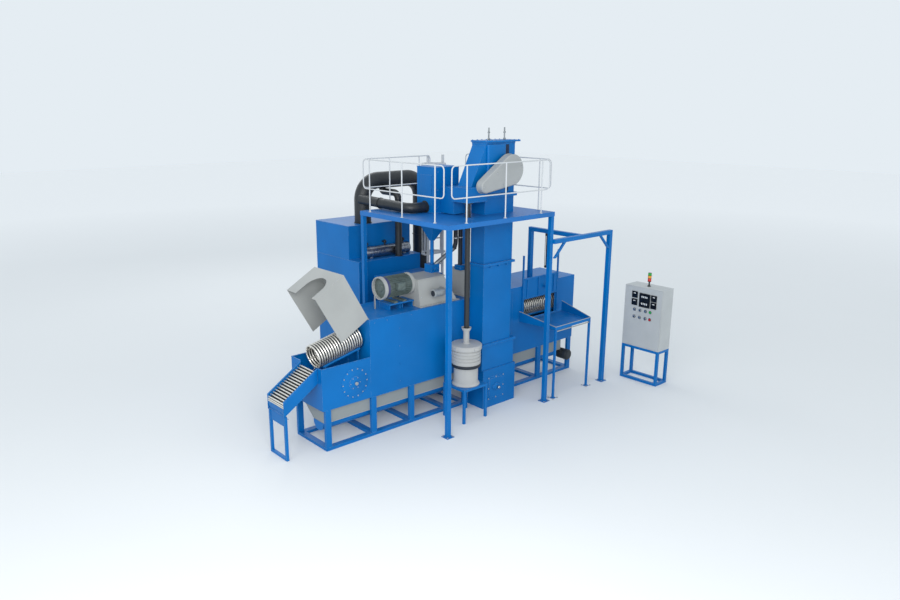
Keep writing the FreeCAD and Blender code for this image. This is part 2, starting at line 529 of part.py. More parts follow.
# Control cabinet on its stand, with a hinged door on its front.
stand = []
for x in ("cabinet_left", "cabinet_right - stand_tube"):
    for y in ("-cabinet_front", "-cabinet_back - stand_tube"):
        stand.append(block((x, x + " + stand_tube"), (y, y + " + stand_tube"), (0, "cabinet_bottom")))
for z in ("0", "cabinet_bottom - stand_tube"):
    stand.append(cut(
        block(("cabinet_left", "cabinet_right"), ("-cabinet_front", "-cabinet_back"), (z, z + " + stand_tube")),
        block(("cabinet_left + stand_tube", "cabinet_right - stand_tube"),
              ("stand_tube - cabinet_front", "-cabinet_back - stand_tube"), (z + " - 1", z + " + stand_tube + 1"))))
node("cabinet_stand", *stand)
case_left = "cabinet_left + door_sheet + 5"
pin_at = ("cabinet_left + door_sheet + 2", "6 - cabinet_back", "cabinet_bottom + 75")
node("cabinet_case", cut(
    block((case_left, "cabinet_right"), ("-cabinet_front", "-cabinet_back"), ("cabinet_bottom + seat", "cabinet_top")),
    block((case_left + " - 1", "cabinet_right - 10"), ("10 - cabinet_front", "-cabinet_back - 10"),
          ("cabinet_bottom + 15", "cabinet_top - 10"))),
    block((pin_at[0], case_left + " + 10"), ("-cabinet_back", "6 - cabinet_back"), (pin_at[2], "cabinet_top - 80")),
    bar(*pin_at, "pin", 1020))
node("cabinet_door", block(("cabinet_left", "cabinet_left + door_sheet"),
                           ("-cabinet_front", "-cabinet_back - seat"), ("cabinet_bottom + seat", "cabinet_top")))
lamp = ("cabinet_left + 165", "400 - cabinet_front")
node("stack_light", bar(*lamp, "cabinet_top + seat", 12, 80), bar(*lamp, "cabinet_top + 80", 28, 180))

# Bearing plate on the front of the trough.
node("front_bearing", bar(555, "-20 - seat", 990, 250, 20, "y"), bar(555, "-60", 990, 40, 45, "y"))

doc.recompute()
for item in doc.Objects:
    if "Invalid" in item.State or "Error" in item.State:
        raise SystemExit("failed: %s %s" % (item.Name, item.State))
os.makedirs("parts", exist_ok=True)
for item in nodes:
    if item.Shape.isNull() or not item.Shape.isValid():
        raise SystemExit("bad shape: %s" % item.Label)
    item.Shape.exportStep("parts/%s.step" % item.Label)
    print(item.Label, len(item.Shape.Solids), len(item.Shape.Faces))
print(len(nodes), "nodes")
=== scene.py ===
import math

import bmesh
import bpy
import numpy as np
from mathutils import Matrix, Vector


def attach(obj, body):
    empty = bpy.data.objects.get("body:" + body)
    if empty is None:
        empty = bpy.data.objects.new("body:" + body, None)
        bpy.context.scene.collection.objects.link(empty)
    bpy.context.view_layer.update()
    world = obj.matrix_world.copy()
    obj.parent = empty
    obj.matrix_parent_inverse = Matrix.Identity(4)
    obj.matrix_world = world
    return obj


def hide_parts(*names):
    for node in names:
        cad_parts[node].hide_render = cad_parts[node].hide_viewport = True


bl_info = {
    "name": "Shot blasting machine",
    "version": (1, 0, 0),
    "blender": (4, 5, 0),
    "location": "View3D > Sidebar > Machine",
    "description": "Builds the visible pieces, finishes and studio of a through-feed shot blasting machine",
    "category": "Object",
}

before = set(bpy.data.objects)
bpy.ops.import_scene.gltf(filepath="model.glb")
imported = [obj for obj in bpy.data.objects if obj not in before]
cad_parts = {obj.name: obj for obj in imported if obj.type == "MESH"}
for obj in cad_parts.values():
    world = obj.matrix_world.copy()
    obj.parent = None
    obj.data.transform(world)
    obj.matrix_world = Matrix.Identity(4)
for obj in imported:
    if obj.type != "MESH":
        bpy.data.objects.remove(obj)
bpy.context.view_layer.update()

# The pieces are worked out from the base frame's front left corner on the floor, X towards the
# feed end and Y towards the dust collector. The model's own origin lies here in that frame.
ORIGIN = np.array((2.925, 0.43, 0.0))
X, Y, Z = np.eye(3)
MACHINE = "machine"
CREASE = 35


def quads(rows, columns, wrap_rows=False):
    """Four-cornered faces of a grid of points numbered row by row, whose columns close on themselves."""
    row = np.arange(rows if wrap_rows else rows - 1)[:, None]
    column = np.arange(columns)[None, :]
    below, beside = (row + 1) % rows, (column + 1) % columns
    corners = (row * columns + column, below * columns + column, below * columns + beside,
               row * columns + beside)
    return np.stack(corners, -1).reshape(-1, 4)


def shell(points, wrap_rows=False):
    """Rings of points joined into a skin. It runs back to its first ring, or else each end has one face."""
    rows, columns = points.shape[:2]
    faces = [quads(rows, columns, wrap_rows)]
    if not wrap_rows:
        faces.append(np.arange(columns)[None, ::-1])
        faces.append(np.arange(columns)[None, :] + (rows - 1) * columns)
    return points.reshape(-1, 3), faces


def joined(*parts):
    """Parts put together: each part's face numbers are raised by the count of points before it."""
    places, faces, count = [], [], 0
    for points, blocks in parts:
        places.append(points)
        faces += [block + count for block in blocks]
        count += len(points)
    return np.concatenate(places), faces


def repeated(part, offsets):
    """Copies of a part: every point plus every offset."""
    points, blocks = part
    offsets = np.asarray(offsets, float)
    steps = (np.arange(len(offsets)) * len(points))[:, None, None]
    places = (points[None] + offsets[:, None]).reshape(-1, 3)
    return places, [(block[None] + steps).reshape(-1, block.shape[1]) for block in blocks]


def moved(part, *offset):
    """A part shifted by an offset."""
    return part[0] + np.asarray(offset, float), part[1]


def turned(part, axis, degrees, centre=(0, 0, 0)):
    """A part turned about a line by Rodrigues' formula: the sum of the point's share along the axis,
    its cosine share across it and its sine share square to both."""
    axis = np.asarray(axis, float) / np.linalg.norm(axis)
    angle = math.radians(degrees)
    away = part[0] - np.asarray(centre, float)
    along = (away @ axis)[:, None] * axis
    spun = along + (away - along) * math.cos(angle) + np.cross(axis, away) * math.sin(angle)
    return spun + np.asarray(centre, float), part[1]


def circle(radius, sides=24):
    """Points (r cos t, r sin t)."""
    angle = np.linspace(0, 2 * math.pi, sides, endpoint=False)
    return radius * np.stack((np.cos(angle), np.sin(angle)), -1)


def hull(*circles, sides=72):
    """The outline round several circles: in each direction, the farthest point that any of them reaches."""
    way = circle(1.0, sides)
    centres = np.array([c[:2] for c in circles], float)
    radii = np.array([c[2] for c in circles], float)
    best = np.argmax(way @ centres.T + radii, axis=1)
    return centres[best] + way * radii[best][:, None]


def rounded(width, height, radius, sides=5):
    """A rectangle about the origin whose corners are quarter circles: the hull of four circles."""
    a, b = width / 2 - radius, height / 2 - radius
    return hull((a, b, radius), (-a, b, radius), (-a, -b, radius), (a, -b, radius), sides=4 * sides)


def rectangle(x, y):
    """The four corners of a rectangle from its ranges, counter-clockwise."""
    return np.array(((x[0], y[0]), (x[1], y[0]), (x[1], y[1]), (x[0], y[1])))


def panel(corners, thickness):
    """A flat sheet from four corners, thickened by a vector."""
    corners = np.asarray(corners, float)
    return shell(np.stack((corners, corners + np.asarray(thickness, float))))


def inset(outline, distance):
    """An outline moved inwards along the mean of the normals of the two edges at each point."""
    ahead = np.roll(outline, -1, 0) - outline
    ahead /= np.maximum(np.linalg.norm(ahead, axis=1, keepdims=True), 1e-9)
    normal = np.stack((-ahead[:, 1], ahead[:, 0]), -1)
    mean = normal + np.roll(normal, 1, 0)
    mean /= np.maximum(np.linalg.norm(mean, axis=1, keepdims=True), 1e-9)
    return outline + mean * distance


def prism(outline, low, high, bevel=0.0, along="z"):
    """An outline carried from low to high, drawn in by the bevel at both ends."""
    rings = [(low, outline), (high, outline)]
    if bevel:
        small = inset(outline, bevel)
        rings = [(low, small), (low + bevel, outline), (high - bevel, outline), (high, small)]
    points = np.stack([np.column_stack((ring, np.full(len(ring), level))) for level, ring in rings])
    order = {"z": (0, 1, 2), "x": (2, 0, 1), "y": (0, 2, 1)}[along]
    return shell(points[..., order])


def block(x, y, z, bevel=0.004):
    """A bevelled box from its ranges: a chamfered rectangle carried upwards."""
    outline = rounded(x[1] - x[0], y[1] - y[0], bevel, sides=2) + ((x[0] + x[1]) / 2, (y[0] + y[1]) / 2)
    return prism(outline, z[0], z[1], bevel)


def bar(start, end, radius, sides=20, bevel=0.0):
    """A round bar: a circle carried from start to end, drawn in by the bevel at both ends."""
    start, end = np.asarray(start, float), np.asarray(end, float)
    length = np.linalg.norm(end - start)
    part = prism(circle(radius, sides), 0, length, bevel)
    return moved(aimed(part, end - start), *start)


def aimed(part, way):
    """A part turned so that its Z axis points along a way."""
    way = np.asarray(way, float) / np.linalg.norm(way)
    side = np.cross(Y if abs(way[1]) < 0.9 else X, way)
    side /= np.linalg.norm(side)
    return part[0] @ np.stack((side, np.cross(way, side), way)), part[1]


def spun(profile, centre, way=Z, sides=48, hollow=False):
    """A profile of (radius, height) pairs spun about an axis: (r cos t, r sin t, h). A hollow one is
    a closed profile that stays clear of the axis."""
    profile = np.asarray(profile, float)
    around = circle(1.0, sides)
    points = np.concatenate((profile[:, None, :1] * around[None],
                             np.broadcast_to(profile[:, None, 1:], (len(profile), sides, 1))), -1)
    return moved(aimed(shell(points, wrap_rows=hollow), way), *centre)


def bent(corners, radius, steps=8, closed=False):
    """A path through rounded corners. With a and b the ways from the arc's centre to its two ends and
    w the angle between them, the arc is (sin((1 - t) w) a + sin(t w) b) / sin w for t from 0 to 1."""
    corners = np.asarray(corners, float)
    path = []
    count = len(corners)
    for number, corner in enumerate(corners):
        if not closed and number in (0, count - 1):
            path.append(corner[None])
            continue
        back = corners[number - 1] - corner
        ahead = corners[(number + 1) % count] - corner
        reach = min(radius, 0.499 * min(np.linalg.norm(back), np.linalg.norm(ahead)))
        back, ahead = back / np.linalg.norm(back), ahead / np.linalg.norm(ahead)
        half = math.acos(max(-1, min(1, float(back @ ahead)))) / 2
        core = (back + ahead) / np.linalg.norm(back + ahead) * reach / math.cos(half)
        size = reach * math.tan(half)
        share = np.linspace(0, 1, steps)[:, None]
        first, last = back * reach - core, ahead * reach - core
        spread = math.pi - 2 * half
        arc = (np.sin((1 - share) * spread) * first + np.sin(share * spread) * last) / math.sin(spread)
        path.append(corner + core + arc * size / np.linalg.norm(first))
    return np.concatenate(path)


def swept(path, profile, up=Z, closed=False):
    """A closed profile carried along a path: point + side * p + top * q, where side is square to the
    path and to the up direction, and top is square to both."""
    path, profile = np.asarray(path, float), np.asarray(profile, float)
    ahead = np.roll(path, -1, 0) - np.roll(path, 1, 0) if closed else np.gradient(path, axis=0)
    ahead /= np.linalg.norm(ahead, axis=1, keepdims=True)
    side = np.cross(ahead, np.asarray(up, float))
    side /= np.linalg.norm(side, axis=1, keepdims=True)
    top = np.cross(side, ahead)
    points = path[:, None] + profile[None, :, :1] * side[:, None] + profile[None, :, 1:] * top[:, None]
    return shell(points, wrap_rows=closed)


def disc(radius, height, centre, way=Z, sides=32):
    """A plain disc about an axis."""
    return spun(((0, 0), (radius, 0), (radius, height), (0, height)), centre, way, sides)


def hexagon(across):
    """A hexagon of a given width across its flats."""
    return circle(across / math.sqrt(3), 6)


def bolts(places, way, size=0.016):
    """Hexagon heads on washers, the same at each place."""
    washer = aimed(prism(circle(size * 1.1, 16), 0, size * 0.2), way)
    head = aimed(prism(hexagon(size * 1.6), size * 0.2, size * 0.85, size * 0.1), way)
    return repeated(joined(washer, head), places)


def linear(code):
    """An sRGB hex code as linear red, green and blue."""
    values = np.array([int(code[n:n + 2], 16) for n in (1, 3, 5)]) / 255
    values = np.where(values <= 0.04045, values / 12.92, ((values + 0.055) / 1.055) ** 2.4)
    return (*(float(v) for v in values), 1.0)


def add(tree, kind, links=None, inputs=None, **settings):
    """Adds one node with its settings, its input values and its links."""
    node = tree.nodes.new(kind)
    for key, value in settings.items():
        setattr(node, key, value)
    for key, value in (inputs or {}).items():
        node.inputs[key].default_value = value
    for key, source in (links or {}).items():
        tree.links.new(source, node.inputs[key])
    return node


def blank(name, **values):
    """A material that has a Principled shader with given values, and its tree and position output."""
    material = bpy.data.materials.new(name)
    material.use_nodes = True
    tree = material.node_tree
    shader = tree.nodes["Principled BSDF"]
    for key, value in values.items():
        shader.inputs[key.replace("_", " ")].default_value = value
    place = add(tree, "ShaderNodeTexCoord").outputs["Object"]
    return material, tree, shader, place


def grain(tree, place, millimetres, detail=3.0):
    """Noise whose blobs are about the given size on the real piece."""
    return add(tree, "ShaderNodeTexNoise", {"Vector": place},
               {"Scale": 1000 / millimetres, "Detail": detail}).outputs["Fac"]


def mixed(tree, factor, first, second, blend="MIX"):
    """A mix of two colours by a factor; each may be a socket or a colour."""
    node = add(tree, "ShaderNodeMix", data_type="RGBA", blend_type=blend)
    for socket, value in ((node.inputs[0], factor), (node.inputs[6], first), (node.inputs[7], second)):
        if isinstance(value, bpy.types.NodeSocket):
            tree.links.new(value, socket)
        else:
            socket.default_value = value
    return node.outputs[2]


def ramp(tree, source, low, high, first=0.0, last=1.0):
    """A value moved from one range to another and held inside it."""
    return add(tree, "ShaderNodeMapRange", {"Value": source},
               {"From Min": low, "From Max": high, "To Min": first, "To Max": last}).outputs["Result"]


def clouded(tree, shader, place, code, share, millimetres, detail, low, high):
    """Gives a shader its colour, in clouds that are darker by a share."""
    base = linear(code)
    dark = tuple(v * share for v in base[:3]) + (1.0,)
    clouds = ramp(tree, grain(tree, place, millimetres, detail), low, high)
    tree.links.new(mixed(tree, clouds, base, dark), shader.inputs["Base Color"])


def bumped(tree, shader, height, strength, depth):
    """Gives a shader relief from a height."""
    bump = add(tree, "ShaderNodeBump", {"Height": height}, {"Strength": strength, "Distance": depth})
    tree.links.new(bump.outputs["Normal"], shader.inputs["Normal"])


def painted_steel(name, code, rough=0.38, edge_wear_and_highlight="#8FA6B8", dust=0.08):
    """Sheet steel, degreased and sprayed with two-part paint. The eye sees a fine orange peel in the
    gloss, slight clouds in the coat, rubbed edges that also serve as a painted edge highlight, and shot
    dust on faces that look up."""
    material, tree, shader, place = blank(name, Roughness=rough)
    shader.inputs["Specular IOR Level"].default_value = 0.2
    base = linear(code)
    shade = tuple(v * 0.88 for v in base[:3]) + (1.0,)
    clouds = ramp(tree, grain(tree, place, 650, 4.0), 0.35, 0.7)
    colour = mixed(tree, clouds, base, shade)
    upward = add(tree, "ShaderNodeSeparateXYZ",
                 {"Vector": add(tree, "ShaderNodeNewGeometry").outputs["Normal"]})
    facing = ramp(tree, upward.outputs["Z"], 0.55, 1.0, 0.0, dust)
    patches = ramp(tree, grain(tree, place, 90, 5.0), 0.38, 0.72)
    settled = add(tree, "ShaderNodeMath", {0: facing, 1: patches}, operation="MULTIPLY").outputs[0]
    colour = mixed(tree, settled, colour, linear("#A9AEB2"))
    # Edges and inner corners take the edge colour in noisy patches: partly rubbed paint, partly a painted
    # highlight along the edges.
    soft = add(tree, "ShaderNodeBevel", inputs={"Radius": 0.006}, samples=3).outputs["Normal"]
    hard = add(tree, "ShaderNodeNewGeometry").outputs["Normal"]
    agree = add(tree, "ShaderNodeVectorMath", {0: soft, 1: hard}, operation="DOT_PRODUCT").outputs["Value"]
    edge = ramp(tree, agree, 0.995, 0.9, 0.0, 0.55)
    rubbed_and_highlit = add(tree, "ShaderNodeMath", {0: edge, 1: ramp(tree, grain(tree, place, 25, 4.0), 0.42, 0.6)},
                 operation="MULTIPLY").outputs[0]
    tree.links.new(mixed(tree, rubbed_and_highlit, colour, linear(edge_wear_and_highlight)), shader.inputs["Base Color"])
    # Real orange peel is 2 to 3 mm across; drawn at 9 mm so that it shows.
    bumped(tree, shader, grain(tree, place, 9, 1.0), 0.07, 0.001)
    return material


def bare_steel(name, code, rough=0.32, streak=(1, 1, 1), metal=1.0):
    """Wear-resistant steel polished by the shot. Bright, with fine scuffs and duller patches."""
    material, tree, shader, place = blank(name, Metallic=metal)
    stretch = add(tree, "ShaderNodeMapping", {"Vector": place}, {"Scale": streak}).outputs["Vector"]
    scuffs = grain(tree, stretch, 14, 6.0)
    base = linear(code)
    dull = tuple(v * 0.62 for v in base[:3]) + (1.0,)
    tree.links.new(mixed(tree, ramp(tree, scuffs, 0.4, 0.7), base, dull), shader.inputs["Base Color"])
    tree.links.new(ramp(tree, scuffs, 0.3, 0.7, rough - 0.08, rough + 0.14), shader.inputs["Roughness"])
    bumped(tree, shader, grain(tree, stretch, 5, 2.0), 0.12, 0.0006)
    return material


def cast_metal(name, code, rough=0.5, metallic=0.0):
    """Cast and painted motor housing: a sandy skin of 1 to 2 mm, drawn at 5 mm, under satin paint."""
    material, tree, shader, place = blank(name, Metallic=metallic, Roughness=rough)
    clouded(tree, shader, place, code, 0.6, 60, 5.0, 0.45, 0.75)
    bumped(tree, shader, grain(tree, place, 5, 3.0), 0.25, 0.001)
    return material


def moulded(name, code, rough=0.45, glow=0.0):
    """Moulded plastic or rubber: even colour with a fine matt skin, and slightly polished where touched."""
    material, tree, shader, place = blank(name)
    base = linear(code)
    pale = tuple(min(1.0, v * 1.12 + 0.004) for v in base[:3]) + (1.0,)
    tree.links.new(mixed(tree, ramp(tree, grain(tree, place, 40, 4.0), 0.4, 0.7), base, pale),
                   shader.inputs["Base Color"])
    tree.links.new(ramp(tree, grain(tree, place, 70, 3.0), 0.3, 0.7, rough - 0.07, rough + 0.09),
                   shader.inputs["Roughness"])
    if glow:
        shader.inputs["Emission Color"].default_value = base
        shader.inputs["Emission Strength"].default_value = glow
    bumped(tree, shader, grain(tree, place, 3, 2.0), 0.1, 0.0005)
    return material


def powder_coat(name, code):
    """Powder-coated cabinet sheet: a fine pebbled texture of about 1 mm, drawn at 4 mm."""
    material, tree, shader, place = blank(name, Roughness=0.5)
    clouded(tree, shader, place, code, 0.93, 300, 3.0, 0.35, 0.7)
    bumped(tree, shader, grain(tree, place, 4, 2.0), 0.2, 0.0008)
    return material


def checker_plate(name, code):
    """Rolled tread plate, sprayed blue: rows of raised bars that lean left and right in turn."""
    material, tree, shader, place = blank(name, Roughness=0.42)
    shader.inputs["Specular IOR Level"].default_value = 0.35
    clouded(tree, shader, place, code, 0.85, 500, 4.0, 0.35, 0.7)
    heights = []
    for angle, shift in ((0.785, 0.0), (-0.785, 0.5)):
        lean = add(tree, "ShaderNodeMapping", {"Vector": place},
                   {"Rotation": (0, 0, angle), "Location": (shift * 0.05, 0, 0)})
        bars = add(tree, "ShaderNodeTexBrick", {"Vector": lean.outputs["Vector"]},
                   {"Scale": 12.0, "Mortar Size": 0.06, "Brick Width": 0.9, "Row Height": 0.28})
        heights.append(bars.outputs["Fac"])
    both = add(tree, "ShaderNodeMath", {0: heights[0], 1: heights[1]}, operation="MAXIMUM").outputs[0]
    bumped(tree, shader, both, 0.25, 0.001)
    return material


BLUE = "#0069B1"
# Each finish: its slot, the function that makes it and that function's values.
FINISHES = {
    "sprayed_blue_paint": ("blue_paint", painted_steel, BLUE),
    "rolled_tread_plate": ("blue_paint", checker_plate, "#146AB4"),
    "sprayed_light_grey_paint": ("grey_paint", painted_steel, "#A4A6A4", 0.45, "#9C9C98", 0.06),
    "sprayed_white_paint": ("white_paint", painted_steel, "#C9CCCE", 0.35, "#B9BCBE", 0.1),
    "sprayed_pot_grey_paint": ("white_paint", painted_steel, "#AFB0AF", 0.4, "#9C9C98", 0.15),
    "sprayed_guard_paint": ("grey_paint", painted_steel, "#A4A7A7", 0.45, "#8E9192", 0.12),
    "dull_hopper_paint": ("grey_paint", painted_steel, "#8B9192", 0.5, "#8A8D8E", 0.2),
    "polished_manganese_steel": ("steel", bare_steel, "#EFECE4", 0.34, (1, 1, 1), 0.75),
    "ground_steel_shaft": ("steel", bare_steel, "#C4C6C8", 0.25, (1, 1, 6)),
    "zinc_plated_steel": ("steel", bare_steel, "#C6CACD", 0.38),
    "drawn_tank_steel": ("steel", bare_steel, "#A9ADB4", 0.3, (0.25, 1, 1)),
    "galvanised_pipe": ("steel", bare_steel, "#8F9598", 0.45),
    "black_duct_paint": ("black", moulded, "#1E2225", 0.42),
    "black_moulded_plastic": ("black", moulded, "#141619", 0.4),
    "dark_rubber": ("black", moulded, "#17202B", 0.6),
    # A dark finish for sheets that stand for shade: painted shade behind the drum rings and the chute
    # slats.
    "painted_shade_dark": ("steel", moulded, "#1B2126", 0.5),
    "shaded_recess": ("blue_paint", moulded, "#04203F", 0.7),
    # Purple stands for the blue reflections inside the wheel cowls: painted reflection.
    "purple_seal": ("black", moulded, "#3C3F66", 0.5),
    "motor_casting_green_grey": ("grey_paint", cast_metal, "#586562"),
    "motor_casting_dark": ("black", cast_metal, "#2B3034"),
    "valve_casting_grey": ("grey_paint", cast_metal, "#9BA1A3", 0.4, 0.3),
    "powder_coated_grey": ("cabinet_grey", powder_coat, "#B4B8B9"),
    "meter_glass_black": ("black", moulded, "#0B0E12", 0.16),
    "button_green": ("black", moulded, "#1E9A4A", 0.3),
    "button_red": ("black", moulded, "#B01226", 0.3),
    "button_metal": ("black", bare_steel, "#C9CCCE", 0.25),
    "lens_green": ("black", moulded, "#188F30", 0.25, 0.2),
    "lens_amber": ("black", moulded, "#C8861B", 0.25, 0.2),
    "lens_red": ("black", moulded, "#B02A22", 0.25, 0.2),
    "dial_white": ("white_paint", moulded, "#D9DCDD", 0.4),
}


def finish(name):
    """The named finish, made the first time it is asked for."""
    maker, *values = FINISHES[name][1:]
    return bpy.data.materials.get(name) or maker(name, *values)


def piece(name, part, coat="sprayed_blue_paint", body=MACHINE, slot=None, replaces=()):
    """Makes one object from a part: its points shifted to the model's origin, its faces turned
    outwards, its shading broken at edges sharper than the crease angle. The slot argument is not
    used."""
    points, blocks = part
    mesh = bpy.data.meshes.new(name)
    mesh.from_pydata((points - ORIGIN).tolist(), [], [face for rows in blocks for face in rows.tolist()])
    work = bmesh.new()
    work.from_mesh(mesh)
    bmesh.ops.recalc_face_normals(work, faces=work.faces)
    work.to_mesh(mesh)
    work.free()
    mesh.shade_smooth()
    mesh.set_sharp_from_angle(angle=math.radians(CREASE))
    mesh.materials.append(finish(coat))
    item = bpy.data.objects.new(name, mesh)
    bpy.context.scene.collection.objects.link(item)
    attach(item, body)
    known = [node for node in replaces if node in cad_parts]
    if known:
        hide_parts(*known)
    return item


def coat_nodes(coat, *names):
    """Gives CAD nodes a finish."""
    for name in names:
        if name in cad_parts:
            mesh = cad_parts[name].data
            mesh.materials.clear()
            mesh.materials.append(finish(coat))


def sizes():
    """The sizes that the scene holds."""
    return bpy.context.scene.blaster_sizes


class BlasterSizes(bpy.types.PropertyGroup):
    """Sizes that a user would change."""
    rail_tube: bpy.props.FloatProperty(
        name="Handrail tube", description="Radius of the handrail tube", default=0.01, unit="LENGTH")
    ring_bar: bpy.props.FloatProperty(
        name="Drum ring bar", description="Radius of the bar that the drum rings are rolled from",
        default=0.013, unit="LENGTH")
    bolt: bpy.props.FloatProperty(
        name="Bolt size", description="Thread size of the housing bolts", default=0.016, unit="LENGTH")
    slats: bpy.props.IntProperty(name="Chute slats", description="Number of slats in the discharge chute",
                                 default=15, min=4, max=40)
    rings: bpy.props.IntProperty(name="Drum rings", description="Number of rings in the discharge drum",
                                 default=19, min=4, max=40)


class BlasterColours(bpy.types.PropertyGroup):
    """Colours that a user would change."""
    backdrop: bpy.props.FloatVectorProperty(
        name="Backdrop", description="Colour of the studio's air", subtype="COLOR", size=4,
        default=linear("#E5EDF3"))


class BLASTER_OT_studio(bpy.types.Operator):
    """Pale floor, soft studio light and the camera"""
    bl_idname = "blaster.studio"
    bl_label = "Studio"

    def execute(self, context):
        scene = context.scene
        scene.view_settings.view_transform = "Standard"
        colour = scene.blaster_colours.backdrop
        world = bpy.data.worlds.new("studio_air")
        world.use_nodes = True
        world.node_tree.nodes["Background"].inputs["Color"].default_value = colour
        world.node_tree.nodes["Background"].inputs["Strength"].default_value = 1.0
        scene.world = world
        reach = 60.0
        mesh = bpy.data.meshes.new("studio_floor")
        corners = reach * np.array(((-1, -1, 0), (1, -1, 0), (1, 1, 0), (-1, 1, 0)))
        mesh.from_pydata(corners.tolist(), [], [(0, 1, 2, 3)])
        material, tree, shader, place = blank("studio_floor_matt", Roughness=0.9)
        shader.inputs["Specular IOR Level"].default_value = 0.1
        away = add(tree, "ShaderNodeVectorMath", {0: place}, operation="LENGTH").outputs["Value"]
        near = mixed(tree, grain(tree, place, 4000), linear("#DCDEDF"), linear("#E0E2E3"))
        tree.links.new(mixed(tree, ramp(tree, away, 6.0, 30.0), near, linear("#FDFDFD")),
                       shader.inputs["Base Color"])
        mesh.materials.append(material)
        floor = bpy.data.objects.new("studio_floor", mesh)
        scene.collection.objects.link(floor)
        for name, place, target, energy, size in (
                ("key_light", (-11.0, -5.0, 9.0), (0, 0, 1.5), 330, 6.0),
                ("front_light", (-7.5, -8.5, 5.6), (0, 0.5, 1.5), 520, 4.0),
                ("fill_light", (2.0, -12.0, 5.0), (0, 0, 1.0), 60, 9.0),
                ("back_light", (3.0, 10.0, 9.0), (0, 0, 2.0), 200, 7.0)):
            data = bpy.data.lights.new(name, "AREA")
            data.energy, data.size = energy, size
            light = bpy.data.objects.new(name, data)
            scene.collection.objects.link(light)
            light.location = place
            light.rotation_euler = (Vector(target) - Vector(place)).to_track_quat("-Z", "Y").to_euler()
        lens = bpy.data.cameras.new("photo_camera")
        lens.sensor_width, lens.lens = 36.0, 29.57
        lens.shift_x = 0.0242
        lens.clip_end = 200.0
        camera = bpy.data.objects.new("photo_camera", lens)
        scene.collection.objects.link(camera)
        camera.location = (-8.557, -9.328, 5.097)
        camera.rotation_euler = (math.radians(90 - 14.47), 0, math.radians(-40.83))
        scene.camera = camera
        return {"FINISHED"}


class BLASTER_OT_coats(bpy.types.Operator):
    """Finishes of the solids that are shown as they are"""
    bl_idname = "blaster.coats"
    bl_label = "Finishes"

    def execute(self, context):
        coat_nodes("sprayed_blue_paint", *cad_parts)
        coat_nodes("rolled_tread_plate", "platform_deck")
        coat_nodes("sprayed_light_grey_paint", "hood", "front_wheel_housing", "second_wheel_housing")
        coat_nodes("dull_hopper_paint", "hopper")
        coat_nodes("black_duct_paint", "reject_pipe", "main_duct", "feed_hose", "gate_cylinder")
        coat_nodes("ground_steel_shaft", "gate_rod", "hood_hinge")
        coat_nodes("powder_coated_grey", "cabinet_case", "cabinet_door")
        coat_nodes("motor_casting_dark", "screw_motor")
        coat_nodes("motor_casting_green_grey", "front_wheel_motor", "second_wheel_motor")
        return {"FINISHED"}


# Lines of the handrails and the levels of their two tubes.
DECK = {"left": 1.746, "right": 4.114, "front": -0.839, "back": 1.364, "top": 3.42}
MID, TOP = 3.807, 4.29


def rail(along, across, start, end, posts, closed=True):
    """One section: a loop with round corners between two levels, and posts that carry it."""
    tube = sizes().rail_tube
    if along == "x":
        corners = [(start, across, MID), (end, across, MID), (end, across, TOP), (start, across, TOP)]
        feet, up = [(p, across) for p in posts], Y
    else:
        corners = [(across, start, MID), (across, end, MID), (across, end, TOP), (across, start, TOP)]
        feet, up = [(across, p) for p in posts], X
    parts = [swept(bent(corners, 0.07, closed=True), circle(tube, 12), up, closed=True)]
    for x, y in feet:
        parts.append(bar((x, y, DECK["top"]), (x, y, TOP), tube * 1.1, 12, 0.002))
        parts.append(moved(prism(circle(tube * 2.6, 20), DECK["top"], DECK["top"] + 0.008, 0.002), x, y, 0))
    return joined(*parts)


class BLASTER_OT_handrails(bpy.types.Operator):
    """White tube handrails on the four sides of the platform"""
    bl_idname = "blaster.handrails"
    bl_label = "Handrails"

    def execute(self, context):
        for name, along, across, start, end, posts in (
                ("front_handrail", "x", DECK["front"], 1.79, 4.00, (2.1, 2.95, 3.81)),
                ("left_handrail", "y", DECK["left"], -0.715, 1.306, (-0.515, 0.28, 1.135)),
                ("back_handrail", "x", DECK["back"], 1.785, 3.28, (2.35, 3.02)),
                ("right_handrail", "y", DECK["right"], -0.77, 1.306, (-0.515, 0.28, 1.135))):
            piece(name + "_tubes", rail(along, across, start, end, posts), "sprayed_white_paint",
                  replaces=[name])
        return {"FINISHED"}


def drum_rings(start, length, radius, count, rise):
    """Rings of round bar strung along an axis that rises by an angle, on six staves inside them."""
    ring_bar = sizes().ring_bar
    hoop = np.column_stack((circle(radius - ring_bar, 48), np.zeros(48)))
    ring = swept(hoop, circle(ring_bar, 8), Z, closed=True)
    parts = [repeated(ring, [(0, 0, level) for level in np.linspace(ring_bar, length - ring_bar, count)])]
    for angle in range(0, 360, 60):
        stave = block((radius - 0.034, radius - 0.022), (-0.012, 0.012), (0, length), 0.002)
        parts.append(turned(stave, Z, angle))
    whole = turned(joined(*parts), Y, 90 - rise)
    return moved(whole, *start)


def drum_shade_sheet(start, length, radius, rise):
    """A dark sheet of painted shade between the rings, at the middle of their bars."""
    wall = ((radius - 0.002, 0.004), (radius, 0.004), (radius, length - 0.004),
            (radius - 0.002, length - 0.004))
    return moved(turned(spun(wall, (0, 0, 0), hollow=True), Y, 90 - rise), *start)


